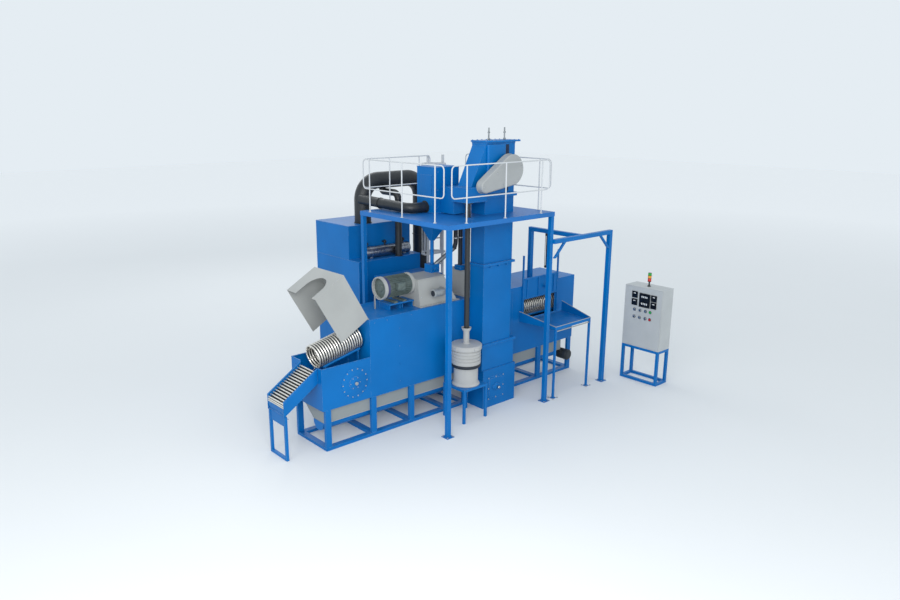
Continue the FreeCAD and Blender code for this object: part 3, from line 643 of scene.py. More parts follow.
class BLASTER_OT_drums(bpy.types.Operator):
    """Open drums of polished rings"""
    bl_idname = "blaster.drums"
    bl_label = "Drums"

    def execute(self, context):
        piece("outlet_drum_rings", drum_rings((0.03, 0.35, 1.435), 0.82, 0.195, sizes().rings, 13),
              "polished_manganese_steel", "outlet_drum", replaces=["outlet_drum"])
        piece("feed_drum_rings", drum_rings((4.3, 0.35, 1.435), 1.25, 0.195, 24, 0),
              "polished_manganese_steel", "feed_drum", replaces=["feed_drum"])
        # Dark sheets of painted shade, seen through the gaps between the rings.
        piece("outlet_drum_shade", drum_shade_sheet((0.03, 0.35, 1.435), 0.82, 0.183, 13), "painted_shade_dark",
              "outlet_drum")
        piece("feed_drum_shade", drum_shade_sheet((4.3, 0.35, 1.435), 1.25, 0.183, 0), "painted_shade_dark",
              "feed_drum")
        return {"FINISHED"}


CHUTE = {"slope": 33.0, "reach": 0.6, "height": 0.2385, "width": 0.48, "left": -0.0456, "front": 0.11,
         "head": 1.33}


def slide(reach, depth):
    """The point of the chute's side at a level distance from its head, at a depth under its edge."""
    return CHUTE["left"] - reach, CHUTE["head"] - reach * math.tan(math.radians(CHUTE["slope"])) - depth


class BLASTER_OT_chute(bpy.types.Operator):
    """Slatted discharge chute with folded side plates and a curved lip"""
    bl_idname = "blaster.chute"
    bl_label = "Chute"

    def execute(self, context):
        reach, height, width, front = CHUTE["reach"], CHUTE["height"], CHUTE["width"], CHUTE["front"]
        outline = np.array([slide(reach, height), slide(0, height), slide(0, 0), slide(reach, 0)])
        parts = []
        for y in (front, front + width - 0.008):
            parts.append(prism(outline, y, y + 0.008, 0.001, "y"))
        steps = np.array([(x, 0.0, z) for x, z in (slide(0.004, 0.002), slide(reach - 0.002, 0.002))])
        for y in (front - 0.004, front + width - 0.022):
            parts.append(swept(steps + (0, y + 0.013, 0), rounded(0.026, 0.007, 0.003), Z))
        floor = np.array([slide(reach - 0.01, height - 0.012), slide(0.002, height - 0.012),
                          slide(0.002, height - 0.022), slide(reach - 0.01, height - 0.022)])
        parts.append(prism(floor, front + 0.008, front + width - 0.008, 0.001, "y"))
        angle = np.radians(np.linspace(180, 226, 10))
        outer, inner = (np.column_stack((-0.385 + r * np.cos(angle), 0.835 + r * np.sin(angle)))
                        for r in (0.26, 0.253))
        parts.append(prism(np.concatenate((outer, inner[::-1])), front + 0.02, front + width - 0.02, 0,
                           "y"))
        piece("chute_plates", joined(*parts), replaces=["discharge_chute"])
        count = sizes().slats
        slat = bar((0, front + 0.008, 0), (0, front + width - 0.008, 0), 0.0115, 14, 0.002)
        places = [slide(step, 0.05) for step in np.linspace(0.02, reach - 0.02, count)]
        # The bed is a dark sheet of painted shade under the slats, seen through the gaps between them.
        bed = np.array([slide(reach - 0.01, 0.086), slide(0.002, 0.086), slide(0.002, 0.078),
                        slide(reach - 0.01, 0.078)])
        piece("chute_shade_bed", prism(bed, front + 0.008, front + width - 0.008, 0, "y"), "painted_shade_dark")
        end = np.array(places[-1])
        places += [tuple(end + (-0.008, -0.03)), tuple(end + (-0.006, -0.06))]
        piece("chute_slats", repeated(slat, [(x, 0, z) for x, z in places]), "polished_manganese_steel")
        return {"FINISHED"}


def disc_bolts(centre, radius, count, way, size):
    """Bolts on a circle that faces along -Y."""
    ring = circle(radius, count)
    return bolts([(centre[0] + x, centre[1], centre[2] + z) for x, z in ring], way, size)


class BLASTER_OT_trough(bpy.types.Operator):
    """Fastenings, bearing and edge folds of the open trough and the chamber"""
    bl_idname = "blaster.trough"
    bl_label = "Trough details"

    def execute(self, context):
        size = sizes().bolt
        piece("trough_bolts", disc_bolts((0.555, -0.0055, 0.99), 0.225, 14, -Y, 0.01), "zinc_plated_steel")
        plate = spun(((0, 0), (0.243, 0.0), (0.246, 0.002), (0.246, 0.004), (0.243, 0.006), (0, 0.006)),
                     (0.555, -0.0003, 0.99), -Y, 72)
        hub = spun(((0, 0), (0.105, 0.0), (0.105, 0.008), (0.07, 0.016), (0.045, 0.03), (0, 0.03)),
                   (0.555, -0.005, 0.99), -Y, 48)
        piece("bearing_plate", joined(plate, hub), replaces=["front_bearing"])
        piece("bearing_bolts", disc_bolts((0.555, -0.012, 0.99), 0.088, 6, -Y, 0.009), "zinc_plated_steel")
        piece("bearing_shaft", spun(((0, 0), (0.03, 0.0), (0.03, 0.045), (0.026, 0.05), (0, 0.05)),
                                    (0.555, -0.01, 0.99), -Y, 28),
              "ground_steel_shaft")
        lip = block((-0.045, 0.858), (-0.006, 0.016), (1.334, 1.342), 0.002)
        back = moved(lip, 0, 0.848, 0)
        ends = joined(block((-0.051, -0.033), (0, 0.104), (1.334, 1.342), 0.002),
                      block((-0.051, -0.033), (0.596, 0.86), (1.334, 1.342), 0.002))
        piece("trough_folds", joined(lip, back, ends))
        stay = bar((0.34, 0.845, 1.02), (0.62, 0.845, 1.3), 0.01, 12, 0.002)
        piece("trough_stay", stay, "zinc_plated_steel")
        seams = [(1.45, z) for z in (0.8, 1.1, 1.4, 1.7)]
        seams += [(0.95, 1.88), (1.2, 1.88), (1.7, 1.88), (2.1, 1.88), (2.45, 1.88)]
        piece("chamber_bolts", bolts([(x, -0.001, z) for x, z in seams], -Y, size * 0.6))
        welds = joined(block((0.862, 4.098), (-0.003, 0.02), (0.66, 0.668), 0.001),
                       block((0.862, 2.9), (-0.005, 0.02), (1.93, 1.9402), 0.002))
        piece("chamber_folds", welds)
        hinge = [bar((0.86, y, 1.9513), (0.86, y + 0.09, 1.9513), 0.019, 20, 0.003) for y in (0.1, 0.66)]
        piece("hinge_barrels", joined(*hinge), "zinc_plated_steel")
        piece("hopper_edge", block((0.012, 5.598), (0.046, 0.056), (0.441, 0.449), 0.001),
              "sprayed_light_grey_paint")
        return {"FINISHED"}


def ribs_round(radius, height, count, start, end, width=0.006):
    """Straight cooling ribs on a barrel that lies along X."""
    rib = block((start, end), (-width / 2, width / 2), (radius - 0.01, radius + height), 0.0015)
    return joined(*(turned(rib, X, angle) for angle in np.linspace(0, 360, count, endpoint=False)))


def motor(radius, start, end, ribs=30):
    """The finned barrel of an electric motor that lies along X."""
    body = spun(((0, 0), (radius * 0.8, 0), (radius * 0.86, 0.01), (radius * 0.86, end - start - 0.01),
                 (radius * 0.8, end - start), (0, end - start)), (start, 0, 0), X, 40)
    fins = ribs_round(radius * 0.84, radius * 0.12, ribs, start + 0.03, end - 0.03)
    return joined(body, fins)


class BLASTER_OT_wheels(bpy.types.Operator):
    """Blast wheel motors, housings and shot nozzles on the chamber's roof"""
    bl_idname = "blaster.wheels"
    bl_label = "Blast wheels"

    def execute(self, context):
        axis = (0.35, 2.31)
        radius = 0.185
        for name, node, start, length, flip in (("wheel_motor", "front_wheel_motor", 1.31, 0.64, 1),
                                                ("second_motor", "second_wheel_motor", 4.05, 0.59, -1)):
            side = X * flip

            def along(profile, distance):
                return spun(profile, (start + flip * distance, *axis), side, 48)

            def span(first, last):
                return np.sort((start + flip * first, start + flip * last))

            near = span(0.105, length - 0.06)
            barrel = moved(motor(radius, *near), 0, *axis)
            feet = [block(span(a, b), (0.2, 0.5), (2.055, 2.085))
                    for a, b in ((0.2, 0.27), (length - 0.26, length - 0.19))]
            box = block(span(0.22, 0.38), (0.13, 0.2), (2.27, 2.4), 0.012)
            lid = block(span(0.23, 0.37), (0.12, 0.135), (2.28, 2.39), 0.006)
            piece(name, joined(barrel, *feet, box, lid), "motor_casting_green_grey", replaces=[node])
            wall = ((0.166, 0.0), (radius + 0.004, 0.0), (radius + 0.004, 0.055), (0.18, 0.06),
                    (0.166, 0.06))
            ring = spun(wall, (start, *axis), side, 48, hollow=True)
            stand = block(span(0.012, 0.02), (0.465, 0.5), (1.9403, 2.31 - 0.11), 0.002)
            neck = along(((0, 0), (radius * 0.9, 0.0), (radius * 0.98, 0.01), (radius * 0.98, 0.05),
                          (0, 0.05)), length - 0.07)
            piece(name + "_cowl", joined(ring, stand, neck), "sprayed_light_grey_paint")
            grille = along(((0, 0.03), (0.05, 0.024), (0.06, 0.034), (0.164, 0.044), (0.164, 0.105),
                            (0, 0.105)), 0.0)
            spoke = block((0, 0.008), (-0.005, 0.005), (0.055, 0.163), 0.002)
            spokes = [moved(turned(spoke, X, angle), start + flip * 0.04 - 0.004, *axis)
                      for angle in range(0, 360, 20)]
            piece(name + "_grille", joined(grille, *spokes), "motor_casting_green_grey")
            # A purple ring of painted reflection inside the cowl, where the blue housing is seen reflected.
            piece(name + "_seal", along(((0, 0), (radius * 0.93, 0.0), (radius * 0.93, 0.05), (0, 0.05)),
                                        0.065), "purple_seal")
            low, high = span(0.1, length - 0.03)
            plates = [block((x, x + 0.012), (0.21, 0.49), (1.9405, 2.03), 0.002)
                      for x in (low + 0.01, low + 0.22, high - 0.24, high - 0.03)]
            piece(name + "_seat", joined(block((low, high), (0.2, 0.5), (2.03, 2.055)), *plates))
        flanges = joined(block((1.915, 2.79), (0.025, 0.655), (1.9403, 1.955)),
                         block((2.965, 3.49), (0.02, 0.64), (1.9403, 1.955)))
        rims = joined(block((1.925, 2.525), (0.105, 0.575), (2.385, 2.4005)),
                      block((3.02, 3.46), (0.1, 0.56), (2.378, 2.3935)))
        levels = ((1.9553, 2.75, 0.06, 0.62), (2.4, 2.5, 0.12, 0.56))
        case = shell(np.stack([np.column_stack((rectangle((1.932, right), (low, high)), np.full(4, level)))
                               for level, right, low, high in levels]))
        piece("wheel_case", case, "sprayed_light_grey_paint", replaces=["front_wheel_housing"])
        piece("wheel_flanges", joined(flanges, rims), "sprayed_light_grey_paint")
        heads = [(x, 0.043, 1.955) for x in np.linspace(1.96, 2.75, 8)]
        heads += [(x, 0.037, 1.955) for x in np.linspace(3.0, 3.45, 5)]
        heads += [(2.77, y, 1.955) for y in (0.16, 0.32, 0.5)]
        piece("wheel_bolts", bolts(heads, Z, 0.012), "zinc_plated_steel")
        studs = [(1.98, 0.082, z) for z in (2.02, 2.1)]
        piece("wheel_studs", bolts(studs, -Y, 0.01), "zinc_plated_steel")
        path = bent(((2.15, -0.02, 2.16), (2.4, -0.02, 2.16), (2.4, 0.14, 2.16)), 0.1)
        nozzle = swept(path, circle(0.062, 28), Z)
        ring = bar((2.142, -0.02, 2.16), (2.162, -0.02, 2.16), 0.07, 28, 0.003)
        piece("shot_nozzle", joined(nozzle, ring), "valve_casting_grey")
        piece("nozzle_mouth", bar((2.14, -0.02, 2.16), (2.15, -0.02, 2.16), 0.05, 28, 0.002), "dark_rubber")
        first = joined(block((2.46, 2.6), (0.36, 0.54), (2.402, 2.51), 0.006),
                       block((2.445, 2.615), (0.345, 0.555), (2.455, 2.465)),
                       bar((2.53, 0.335, 2.46), (2.53, 0.365, 2.46), 0.034, 24, 0.003))
        second = joined(block((2.97, 3.1), (0.2, 0.36), (2.392, 2.48), 0.006),
                        block((2.955, 3.115), (0.185, 0.375), (2.43, 2.44)))
        piece("shot_valves", joined(first, second))
        pipe = swept(bent(((2.93, 0.3, 2.8), (2.58, 0.4, 2.54), (2.54, 0.44, 2.46)), 0.04),
                     circle(0.036, 20), Y)
        piece("shot_pipe", pipe, "galvanised_pipe")
        hose = swept(bent(((2.94, 0.3, 3.405), (2.94, 0.3, 2.86), (2.9, 0.3, 2.775)), 0.1, 10),
                     circle(0.038, 20), Y)
        bend = swept(bent(((3.05, 0.3, 3.405), (3.05, 0.3, 2.72), (3.03, 0.28, 2.46)), 0.14, 10),
                     circle(0.038, 20), X)
        piece("feed_hoses", joined(hose, bend), "dark_rubber", replaces=["feed_hose"])
        clips = [disc(0.042, 0.016, (x, 0.3, z), Z, 24)
                 for x, z in ((2.94, 3.3), (3.05, 3.3), (2.94, 2.95), (3.05, 2.95))]
        piece("hose_clips", joined(*clips), "zinc_plated_steel")
        return {"FINISHED"}


class BLASTER_OT_ducts(bpy.types.Operator):
    """Black air ducts with swept elbows"""
    bl_idname = "blaster.ducts"
    bl_label = "Ducts"

    def execute(self, context):
        up, run, drop, low = (2.216, 2.0), 3.845, 3.587, 1.3
        path = bent(((*up, 3.1003), (*up, run), (drop, 2.0, run), (drop, 2.0, low), (3.72, 2.0, low)), 0.34,
                    14)
        entry = bent(((3.72, 2.0, low), (3.86, 2.0, low), (3.86, 0.9003, low)), 0.13, 10)
        piece("main_duct_run", joined(swept(path, circle(0.15, 40), Y), swept(entry, circle(0.15, 40), Z)),
              "black_duct_paint", replaces=["main_duct"])
        branch = bent(((2.1, 1.88, 3.545), (2.1, 0.52, 3.51), (2.4397, 0.52, 3.51)), 0.15, 12)
        vent = bent(((2.67, 1.535, 2.5003), (2.67, 1.535, 3.64), (2.67, 2.0, 3.64), (2.67, 2.0, 3.75)),
                    0.12, 12)
        piece("branch_ducts", joined(swept(branch, circle(0.085, 32), Z),
                                     swept(vent, circle(0.062, 28), X)), "black_duct_paint")

        def band(place, way, radius):
            return spun(((0, 0), (radius, 0), (radius + 0.012, 0.002), (radius + 0.012, 0.012),
                         (radius, 0.014), (0, 0.014)), place, way, 40)

        bands = [band((*up, 3.1003), Z, 0.15), band((drop, 2.0, 2.75), Z, 0.15),
                 band((2.1, 1.3, 3.527), Y, 0.085)]
        bands += [band((2.67, 1.535, 2.5003), Z, 0.062), band((3.86, 0.9003, low), Y, 0.165),
                  band((2.425, 0.52, 3.51), X, 0.095)]
        piece("duct_bands", joined(*bands), "black_duct_paint")
        return {"FINISHED"}


class BLASTER_OT_collector(bpy.types.Operator):
    """Header tank, pulse valves, folds and feet of the dust collector"""
    bl_idname = "blaster.collector"
    bl_label = "Dust collector"

    def execute(self, context):
        tank_y, tank_z = 1.695, 2.606
        barrel = ((0, 0), (0.045, 0.004), (0.085, 0.02), (0.102, 0.05), (0.102, 1.01), (0.085, 1.04),
                  (0.045, 1.056), (0, 1.06))
        piece("header_barrel", spun(barrel, (1.98, tank_y, tank_z), X, 44), "drawn_tank_steel",
              replaces=["header_tank"])
        bands = [disc(0.1045, 0.03, (x, tank_y, tank_z), X, 44) for x in (2.115, 2.875)]
        saddles = [block((x, x + 0.06), (tank_y - 0.06, tank_y + 0.06), (2.5003, 2.56))
                   for x in (2.1, 2.86)]
        piece("header_bands", joined(*bands, *saddles), "zinc_plated_steel")
        knob = ((0, 0), (0.014, 0.0), (0.014, 0.03), (0.024, 0.034), (0.032, 0.046), (0.032, 0.064),
                (0.024, 0.076), (0.014, 0.08), (0.014, 0.09), (0, 0.092))
        valves = []
        for x in (2.09, 2.5, 2.92):
            valves.append(spun(knob, (x, tank_y + 0.035, 2.7), Z, 24))
            valves.append(bar((x, tank_y + 0.035, 2.755), (x, 1.7997, 2.755), 0.016, 16))
        piece("pulse_valves", joined(*valves), "black_moulded_plastic")
        left, right, front, middle, back = 1.75, 3.15, 1.5, 1.8, 2.85
        folds = [block((left - 0.004, left + 0.02), (middle + 0.01, back), (3.085, 3.1005)),
                 block((left, right), (middle - 0.004, middle + 0.02), (3.085, 3.1005)),
                 block((left - 0.006, left + 0.01), (front, back),
                       (2.488,
                        2.4995)), block((left, right), (front - 0.006, front + 0.02), (2.488, 2.4995)),
                 block((left - 0.006, right + 0.006), (front - 0.006, front + 0.02),
                       (0.648, 0.672)), block((left - 0.006, left + 0.02), (front, back), (0.648, 0.672)),
                 block((left - 0.003, left + 0.02), (front - 0.003, front + 0.02), (0.672, 2.488))]
        piece("collector_folds", joined(*folds))
        feet = [block((x - 0.02, x + 0.08), (y - 0.02, y + 0.08), (0, 0.012))
                for x in (left + 0.02, right - 0.08) for y in (front + 0.02, back - 0.08)]
        piece("collector_feet", joined(*feet))
        return {"FINISHED"}


class BLASTER_OT_ladder(bpy.types.Operator):
    """White ladder to the platform with its safety cage"""
    bl_idname = "blaster.ladder"
    bl_label = "Ladder"

    def execute(self, context):
        left, right, y = 3.25, 3.65, 1.4103
        parts = [block((x, x + 0.04), (y - 0.019, y + 0.019), (0, 4.29), 0.003)
                 for x in (left, right - 0.04)]
        rungs = [bar((left + 0.03, y, z), (right - 0.03, y, z), 0.013, 14)
                 for z in np.arange(0.25, 3.4, 0.25)]
        angle = np.radians(np.linspace(-6, 186, 30))
        arc = np.column_stack((0.245 * np.cos(angle), 0.245 * np.sin(angle),
                               np.zeros(30))) + ((left + right) / 2, 1.4303, 0)
        hoop = swept(arc, rounded(0.006, 0.038, 0.002), Z)
        parts.append(repeated(hoop, [(0, 0, z) for z in (2.47, 3.02, 3.57, 4.12)]))
        arms = block((left - 0.045, right + 0.045), (1.391, 1.397), (-0.018, 0.018), 0.002)
        parts.append(repeated(arms, [(0, 0, z) for z in (2.47, 3.02, 3.57, 4.12)]))
        for degrees in (20, 60, 95, 125, 150, 175):
            side = math.radians(degrees)
            strap = block((-0.015, 0.015), (-0.003, 0.003), (2.45, 4.14), 0.001)
            strap = turned(strap, Z, degrees + 90)
            parts.append(moved(strap, (left + right) / 2 + 0.24 * math.cos(side),
                               1.4303 + 0.24 * math.sin(side), 0))
        piece("ladder_and_cage", joined(*parts, *rungs), "sprayed_white_paint", replaces=["ladder"])
        return {"FINISHED"}


class BLASTER_OT_guard(bpy.types.Operator):
    """Rounded sheet guard over the elevator's belt drive"""
    bl_idname = "blaster.guard"
    bl_label = "Belt guard"

    def execute(self, context):
        small, large = (2.79, 3.905), (3.395, 4.14)
        outline = hull((*small, 0.108), (*large, 0.25), sides=120)
        cover = prism(outline, -0.5803, -0.4503, 0.016, "y")
        rim = prism(hull((*small, 0.116), (*large, 0.258), sides=120), -0.466, -0.4503, 0.003, "y")
        stub = bar((large[0], -0.4503, large[1]), (large[0], -0.3603, large[1]), 0.05, 28)
        piece("guard_shell", joined(cover, rim, stub), "sprayed_guard_paint", replaces=["belt_guard"])
        places = [(small[0] - 0.07, -0.5803, small[1] - 0.01), (large[0] + 0.19, -0.5803, large[1] + 0.05),
                  (3.02, -0.5803, 4.1), (3.17, -0.5803, 3.91)]
        piece("guard_bolts", bolts(places, -Y, 0.011), "zinc_plated_steel")
        return {"FINISHED"}


class BLASTER_OT_pot(bpy.types.Operator):
    """Moulded reject pot with its gasket and funnel"""
    bl_idname = "blaster.pot"
    bl_label = "Reject pot"

    def execute(self, context):
        centre = (2.56, -0.39, 0.6003)
        drum = ((0, 0), (0.232, 0.0), (0.236, 0.01), (0.226, 0.03), (0.208, 0.045), (0.205, 0.06),
                (0.205, 0.3), (0.226, 0.315), (0.226, 0.335), (0, 0.335))
        rings = [(0, 0.365), (0.23, 0.365), (0.244, 0.375)]
        for level in (0.4, 0.455, 0.51, 0.565):
            rings += [(0.247, level), (0.247, level + 0.028), (0.232, level + 0.04), (0.232, level + 0.048)]
        rings += [(0.232, 0.62), (0.262, 0.63), (0.262, 0.695), (0.25, 0.705), (0.062, 0.712),
                  (0.052, 0.725), (0.05, 0.905), (0.056, 0.92), (0.08, 0.965),
                  (0.085, 0.985), (0.078, 0.985), (0.052, 0.935), (0.046, 0.905), (0.046, 0.86), (0, 0.86)]
        lug = joined(block((2.29, 2.36), (-0.44, -0.34), (1.22, 1.3), 0.008),
                     block((2.5, 2.6), (-0.662, -0.63), (1.23, 1.29), 0.008))
        piece("pot_shell", joined(spun(drum, centre, sides=64), spun(rings, centre, sides=64), lug),
              "sprayed_pot_grey_paint", replaces=["reject_pot"])
        gasket = spun(((0, 0.318), (0.24, 0.318), (0.246, 0.33), (0.246, 0.362), (0.24, 0.372), (0, 0.372)),
                      centre, sides=64)
        piece("pot_gasket", gasket, "dark_rubber")
        return {"FINISHED"}


class BLASTER_OT_elevator(bpy.types.Operator):
    """Flanges, bolts, bearings and tension rods of the bucket elevator"""
    bl_idname = "blaster.elevator"
    bl_label = "Elevator"

    def execute(self, context):
        size = sizes().bolt
        left, right, front = 2.93, 3.69, -0.4
        heads = []
        for z in (2.59, 3.75):
            heads += [(x, front + 0.013, z) for x in np.linspace(left + 0.05, right - 0.05, 8)]
        heads += [(x, -0.376, 1.18) for x in np.linspace(2.98, 3.74, 8)]
        piece("elevator_bolts", bolts(heads, Z, size * 0.6))
        bands = [block((left, right), (front, -0.3605), (2.5745, 2.5905), 0.002),
                 block((left, right), (front, -0.3605), (3.7, 3.752), 0.002)]
        ribs = [block((x, x + 0.008), (front + 0.004, -0.3605), (2.515, 2.57), 0.001)
                for x in (3.1, 3.3, 3.5)]
        piece("elevator_ribs", joined(*bands, *ribs))
        piece("head_recess", block((3.41, 3.505), (-0.3655, -0.3603), (3.78, 4.54), 0.0006),
              "shaded_recess")
        nose = prism(hull((3.375, -0.372, 0.03), (3.015, -0.372, 0.03), sides=40), 3.76, 4.545, 0.004)
        piece("head_panel", nose)
        plate = joined(block((2.952, 3.743), (-0.398, -0.022), (4.582, 4.61), 0.003),
                       block((2.965, 3.655), (-0.365, -0.036), (4.5603, 4.583), 0.002))
        piece("cover_plate", plate, replaces=["head_cover"])
        piece("spout_slot", block((2.775, 2.885), (-0.364, -0.3603), (3.925, 3.955), 0.0008),
              "shaded_recess")
        rods = []
        for x in (3.19, 3.56):
            rods.append(bar((x, -0.2, 4.6), (x, -0.2, 4.808), 0.0115, 16, 0.002))
            rods.append(moved(prism(hexagon(0.036), 4.616, 4.64, 0.003), x, -0.2, 0))
            rods.append(moved(prism(hexagon(0.036), 4.72, 4.742, 0.003), x, -0.2, 0))
            rods.append(moved(prism(circle(0.028, 20), 4.6103, 4.616, 0.001), x, -0.2, 0))
        piece("tension_rods", joined(*rods), "galvanised_pipe")
        cover = [(x, y, 4.6103) for x in np.linspace(2.98, 3.715, 8) for y in (-0.38, -0.04)]
        piece("cover_bolts", bolts(cover, Z, 0.01))
        door = joined(block((3.1, 3.5), (-0.388, -0.38), (0.14, 0.56)),
                      block((3.14, 3.46), (-0.394, -0.387), (0.18, 0.52)))
        piece("boot_door", door)
        around = [(x, -0.388, z) for x in (3.12, 3.3, 3.48) for z in (0.16, 0.54)]
        around += [(x, -0.388, 0.35) for x in (3.12, 3.48)]
        piece("boot_bolts", bolts(around, -Y, 0.011), "zinc_plated_steel")
        bearing = joined(spun(((0, 0), (0.07, 0.0), (0.07, 0.016), (0.048, 0.034), (0.034, 0.038),
                               (0, 0.038)), (3.3, -0.394, 0.36), -Y, 32),
                         block((3.2, 3.4), (-0.408, -0.394), (0.325, 0.395)))
        piece("boot_bearing", bearing)
        piece("boot_shaft", spun(((0, 0), (0.024, 0.0), (0.024, 0.05), (0.02, 0.055), (0, 0.055)),
                                 (3.3, -0.425, 0.36), -Y, 24), "ground_steel_shaft")
        return {"FINISHED"}


class BLASTER_OT_separator(bpy.types.Operator):
    """Folds, bolts and doors of the separator and of the box under the elevator's spout"""
    bl_idname = "blaster.separator"
    bl_label = "Separator"

    def execute(self, context):
        folds = [block((2.434, 2.9695), (0.264, 0.736), (4.168, 4.1805)),
                 block((2.43, 2.9695), (0.26, 0.74), (3.4205, 3.436)),
                 block((2.434, 2.46), (0.264, 0.29), (3.436, 4.168))]
        piece("separator_folds", joined(*folds))
        heads = [(x, 0.2695, z) for x, z in ((2.5, 3.52), (2.5, 3.8), (2.5, 4.1), (2.9, 3.52), (2.9, 3.8),
                                             (2.9, 4.1))]
        piece("separator_bolts", bolts(heads, -Y, 0.01))
        piece("separator_door", block((2.432, 2.44), (0.36, 0.64), (3.55, 4.05)))
        rim = [block((2.494, 2.929), (-0.456, -0.434), (3.655, 3.672), 0.002),
               block((2.494, 2.929), (-0.456, -0.05), (3.878, 3.891), 0.002)]
        piece("spout_folds", joined(*rim))
        piece("transfer_box", block((2.56, 2.929), (-0.0494, 0.2694), (3.43, 3.868)))
        collar = disc(0.075, 0.012, (2.56, -0.39, 3.6375), Z, 28)
        piece("reject_collar", collar, "black_duct_paint")
        return {"FINISHED"}


class BLASTER_OT_feed(bpy.types.Operator):
    """Gate cylinder, ribs of the gate and fastenings of the feed end"""
    bl_idname = "blaster.feed"
    bl_label = "Feed end"

    def execute(self, context):
        x, y = 4.93, -0.08
        barrel = bar((x, y, 2.262), (x, y, 2.822), 0.033, 28)
        caps = [block((x - 0.04, x + 0.04), (y - 0.04, y + 0.04), z, 0.005)
                for z in ((2.22, 2.262), (2.822, 2.8697))]
        rods = repeated(bar((0, 0, 2.25), (0, 0, 2.84), 0.005, 10),
                        [(x + i, y + j, 0) for i in (-0.034, 0.034) for j in (-0.034, 0.034)])
        piece("cylinder_body", joined(barrel, *caps, rods), "black_moulded_plastic",
              replaces=["gate_cylinder"])
        left, right, low, high = 4.37, 5.31, 1.68, 2.08
        ribs = [block((x, x + 0.03), (-0.04, -0.0215), (low + 0.02, high - 0.02))
                for x in (4.45, 4.76, 5.06, 5.2)]
        ribs += [block((left + 0.005, right - 0.005), (-0.036, -0.0215), (z, z + 0.025))
                 for z in (low + 0.002, high - 0.027)]
        piece("gate_ribs", joined(*ribs), body="gate")
        clevis = [block((x + i, x + i + 0.012), (-0.098, -0.04), (1.84, 1.885)) for i in (-0.034, 0.022)]
        piece("gate_clevis", joined(*clevis), body="gate")
        frame_parts = [block((4.395, 5.285), (-0.008, 0.006), (1.288, 1.3), 0.002),
                       block((4.388, 4.4), (-0.008, 0.006), (1.29, 1.71), 0.002),
                       block((5.28, 5.292), (-0.008, 0.006), (1.29, 1.71), 0.002)]
        piece("window_frame", joined(*frame_parts))
        front_y, back_y, low, lip, rim = -0.86, -0.06, 1.29, 1.35, 1.49
        near, far = (4.31, 5.31), (4.225, 5.445)
        floor = np.array(((near[0], front_y), (near[1], front_y), (far[1], back_y), (far[0], back_y)))
        parts = [prism(floor, low, low + 0.006), block(near, (front_y, front_y + 0.006), (low, lip), 0.001)]
        for start, end, side in ((near[0], far[0], 1), (near[1], far[1], -1)):
            parts.append(panel(((start, front_y, low), (end, back_y, low), (end, back_y, rim),
                                (start, front_y, lip)), (side * 0.006, 0, 0)))
        piece("tray_plates", joined(*parts), replaces=["feed_tray"])
        # These rims and the bar under the front edge are blue paint; they are coloured light grey as a
        # painted highlight.
        edges = [bar((near[0], front_y + 0.003, lip), (near[1], front_y + 0.003, lip), 0.006, 12)]
        edges += [bar((start, front_y, lip), (end, back_y, rim), 0.006, 12)
                  for start, end in zip(near, far)]
        edges.append(bar((near[0] + 0.02, front_y + 0.01, 1.262), (near[1] - 0.02, front_y + 0.01, 1.262),
                         0.01, 14))
        piece("tray_rims", joined(*edges), "sprayed_light_grey_paint", slot="blue_paint")
        return {"FINISHED"}


class BLASTER_OT_feet(bpy.types.Operator):
    """Anchor bolts, weld beads and end plates of the columns and the base frame"""
    bl_idname = "blaster.feet"
    bl_label = "Feet"

    def execute(self, context):
        columns = [(1.761, -0.824), (4.099, -0.824), (1.761, 1.349), (4.099, 1.349)]
        portal = [(5.7375, -0.8625)]
        tray = [(4.3275, -0.8425), (5.2925, -0.8425)]
        spots = [(x + i, y + j, 0.01) for x, y in columns + portal + tray for i in (-0.055, 0.055)
                 for j in (-0.055, 0.055)]
        piece("anchor_bolts", bolts(spots, Z, 0.014), "zinc_plated_steel")
        beads = [block((x - 0.043, x + 0.043), (y - 0.043, y + 0.043), (0.01, 0.0165), 0.003)
                 for x, y in columns + portal]
        piece("column_welds", joined(*beads))
        stations = (0.05, 0.915, 1.7, 2.51, 2.925, 4.1, 4.89, 5.8)
        caps = [block((x - 0.056, x + 0.056), (-0.004, 0.054), (0.0503, 0.058), 0.002) for x in stations]
        piece("post_welds", joined(*caps))
        return {"FINISHED"}


class BLASTER_OT_screw(bpy.types.Operator):
    """Geared motor of the screw"""
    bl_idname = "blaster.screw"
    bl_label = "Screw motor"

    def execute(self, context):
        body = turned(motor(0.108, 0.0, 0.2, 24), Z, -90)
        cowl = spun(((0, 0), (0.096, 0.0), (0.106, 0.01), (0.106, 0.08), (0, 0.08)), (0, -0.27, 0), Y, 32)
        box = block((-0.1, -0.05), (-0.14, -0.06), (0.02, 0.08), 0.006)
        piece("screw_motor_ribs", moved(joined(body, cowl, box), 5.655, 0.16, 0.345), "motor_casting_dark")
        return {"FINISHED"}


